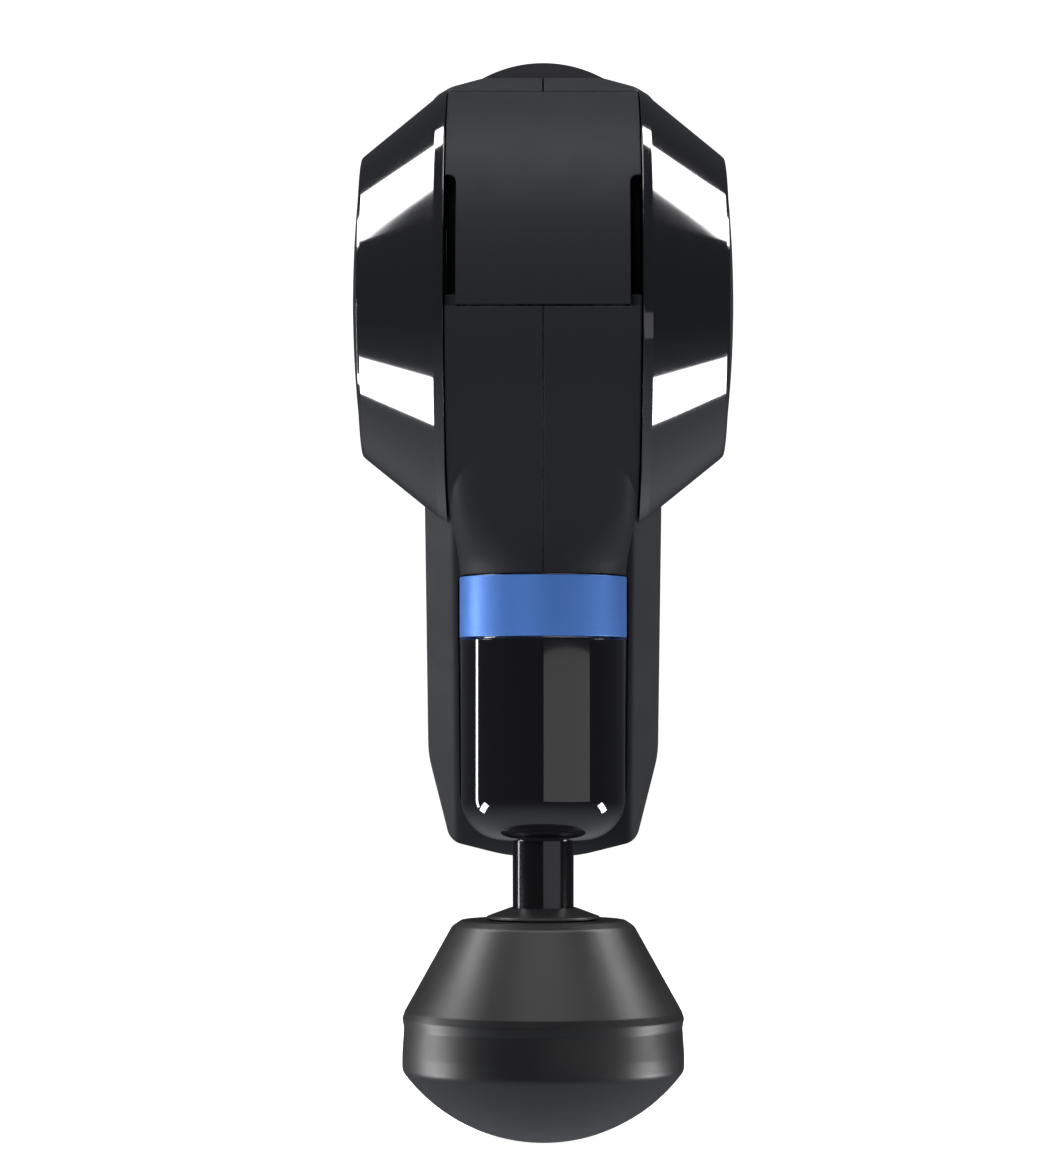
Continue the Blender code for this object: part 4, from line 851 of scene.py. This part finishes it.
def paint_inside():
    """Materials for the CAD nodes that stay."""
    slots = {s["node"]: s["material_slot"] for s in frame["record"]["subparts"]}
    for node, obj in frame["nodes"].items():
        if not obj.hide_render:
            obj.data.materials.clear()
            obj.data.materials.append(PAINTS[slots[node]].material)


# ---------------------------------------------------------------- studio


def make_stage():
    """A pale floor that curves up into a wall all round. It lights nothing by itself."""
    wall = arc((1.7, 0.7), 0.7, -90.0, 0.0, 16)
    bm = bmesh.new()
    turns = 96
    centre = bm.verts.new((0.0, 0.0, 0.0))
    rows = [
        [bm.verts.new((reach * math.cos(a), reach * math.sin(a), up)) for a in (
            2 * math.pi * k / turns for k in range(turns))]
        for reach, up in wall + [(2.4, 3.0)]
    ]
    for k in range(turns):
        j = (k + 1) % turns
        bm.faces.new((centre, rows[0][k], rows[0][j]))
        for near, far in zip(rows, rows[1:]):
            bm.faces.new((near[k], far[k], far[j], near[j]))
    mesh = bpy.data.meshes.new("backdrop")
    bm.to_mesh(mesh)
    bm.free()
    mesh.flip_normals()
    mesh.shade_smooth()
    sweep = bpy.data.objects.new("backdrop", mesh)
    bpy.context.scene.collection.objects.link(sweep)
    material = bpy.data.materials.new("pale_paper")
    material.use_nodes = True
    nodes, links = material.node_tree.nodes, material.node_tree.links
    shader = nodes["Principled BSDF"]
    shader.inputs["Roughness"].default_value = 0.9
    shader.inputs["Specular IOR Level"].default_value = 0.1
    noise = nodes.new("ShaderNodeTexNoise")
    noise.inputs["Scale"].default_value = 3.0
    mix = nodes.new("ShaderNodeMix")
    mix.data_type = "RGBA"
    mix.inputs[MIX_A].default_value = (0.90, 0.90, 0.90, 1.0)
    mix.inputs[MIX_B].default_value = (0.92, 0.92, 0.92, 1.0)
    links.new(noise.outputs["Fac"], mix.inputs["Factor"])
    links.new(mix.outputs[MIX_OUT], shader.inputs["Base Color"])
    shader.inputs["Emission Color"].default_value = (1.0, 1.0, 1.0, 1.0)
    shader.inputs["Emission Strength"].default_value = 0.92
    mesh.materials.append(material)
    sweep.visible_diffuse = False
    sweep.visible_glossy = False
    sweep.visible_shadow = False


def make_sky():
    """A dim surrounding that is lighter below the horizon."""
    world = bpy.data.worlds.new("studio")
    world.use_nodes = True
    nodes, links = world.node_tree.nodes, world.node_tree.links
    glow = nodes["Background"]
    glow.inputs["Color"].default_value = (0.86, 0.90, 1.0, 1.0)
    split = nodes.new("ShaderNodeSeparateXYZ")
    links.new(nodes.new("ShaderNodeTexCoord").outputs["Generated"], split.inputs["Vector"])
    fade = nodes.new("ShaderNodeMapRange")
    fade.interpolation_type = "SMOOTHSTEP"
    for socket, value in (("From Min", -0.9), ("From Max", -0.05), ("To Min", 0.55), ("To Max", 0.05)):
        fade.inputs[socket].default_value = value
    links.new(split.outputs["Z"], fade.inputs["Value"])
    links.new(fade.outputs["Result"], glow.inputs["Strength"])
    bpy.context.scene.world = world


BESIDE = 0.5            # how far out the softboxes stand
MIDDLE = Vector((0.0, 0.0, 0.12))


def lamp(name, at, target, wide, tall, power):
    data = bpy.data.lights.new(name, "AREA")
    data.shape = "RECTANGLE"
    data.size = wide
    data.size_y = tall
    data.energy = power
    obj = bpy.data.objects.new(name, data)
    obj.location = at
    obj.rotation_euler = (Vector(target) - Vector(at)).to_track_quat("-Z", "Y").to_euler()
    obj.visible_camera = False
    bpy.context.scene.collection.objects.link(obj)
    return obj


def softbox(name, side, rear, up, lean, wide, tall, power):
    """A lamp beside the massager that faces it along X, its height leaning to the rear by lean."""
    at = MOTOR + Vector((side * BESIDE, rear, up))
    light = lamp(name, at, MOTOR, wide, tall, power)
    across = Vector((0.0, math.cos(lean), -math.sin(lean)))
    along = Vector((0.0, math.sin(lean), math.cos(lean)))
    axes = Matrix((side * across, along, (side, 0.0, 0.0))).transposed()
    light.rotation_euler = axes.to_euler()


def make_light():
    """Two softboxes on each side for the pods' bright bands, a strip, a card, a top and a fill."""
    for side in (-1, 1):
        word = "right" if side > 0 else "left"
        softbox(f"{word}_high", side, 0.198, 0.500, math.radians(30.0), 0.145, 0.66, 4.8)
        softbox(f"{word}_low", side, 0.042, -0.256, math.radians(39.3), 0.194, 0.085, 1.25)
    lamp("left_strip", (-0.48, MOTOR.y + 0.13, 0.07), (0.0, MOTOR.y, 0.07), 0.035, 0.26, 0.6)
    lamp("right_card", (0.34, MOTOR.y - 0.50, 0.050), (0.0, MOTOR.y, 0.050), 0.80, 0.12, 0.22)
    lamp("overhead", (0.0, -0.25, 0.95), MIDDLE, 0.7, 0.5, 5.5)
    front = lamp("front_fill", (-0.5, -1.4, 0.35), MIDDLE, 0.9, 0.7, 16.0)
    front.visible_glossy = False


# The camera: how far in front of the motor and below it, its focal length and its angles.
EYE_AHEAD = 0.7346
EYE_BELOW = 0.0828
EYE_LENS = 112.4
EYE_PITCH = 92.07
EYE_YAW = 0.33


def make_camera():
    """The photograph's viewpoint, with plain colours so that white stays white."""
    data = bpy.data.cameras.new("camera")
    data.lens = EYE_LENS
    data.sensor_width = 36.0
    data.clip_start = 0.01
    camera = bpy.data.objects.new("camera", data)
    camera.location = (0.0, MOTOR.y - EYE_AHEAD, MOTOR.z - EYE_BELOW)
    camera.rotation_euler = (math.radians(EYE_PITCH), 0.0, math.radians(EYE_YAW))
    bpy.context.scene.collection.objects.link(camera)
    bpy.context.scene.camera = camera
    bpy.context.scene.view_settings.view_transform = "Standard"


make_camera()
for hand in (-1, 1):
    make_pod(hand)
    handle_half(hand)
make_discs()
make_strips()
make_panel()
make_fasteners()
make_arm()
make_shaft()
make_head()
make_spring()
paint_inside()
make_stage()
make_sky()
make_light()
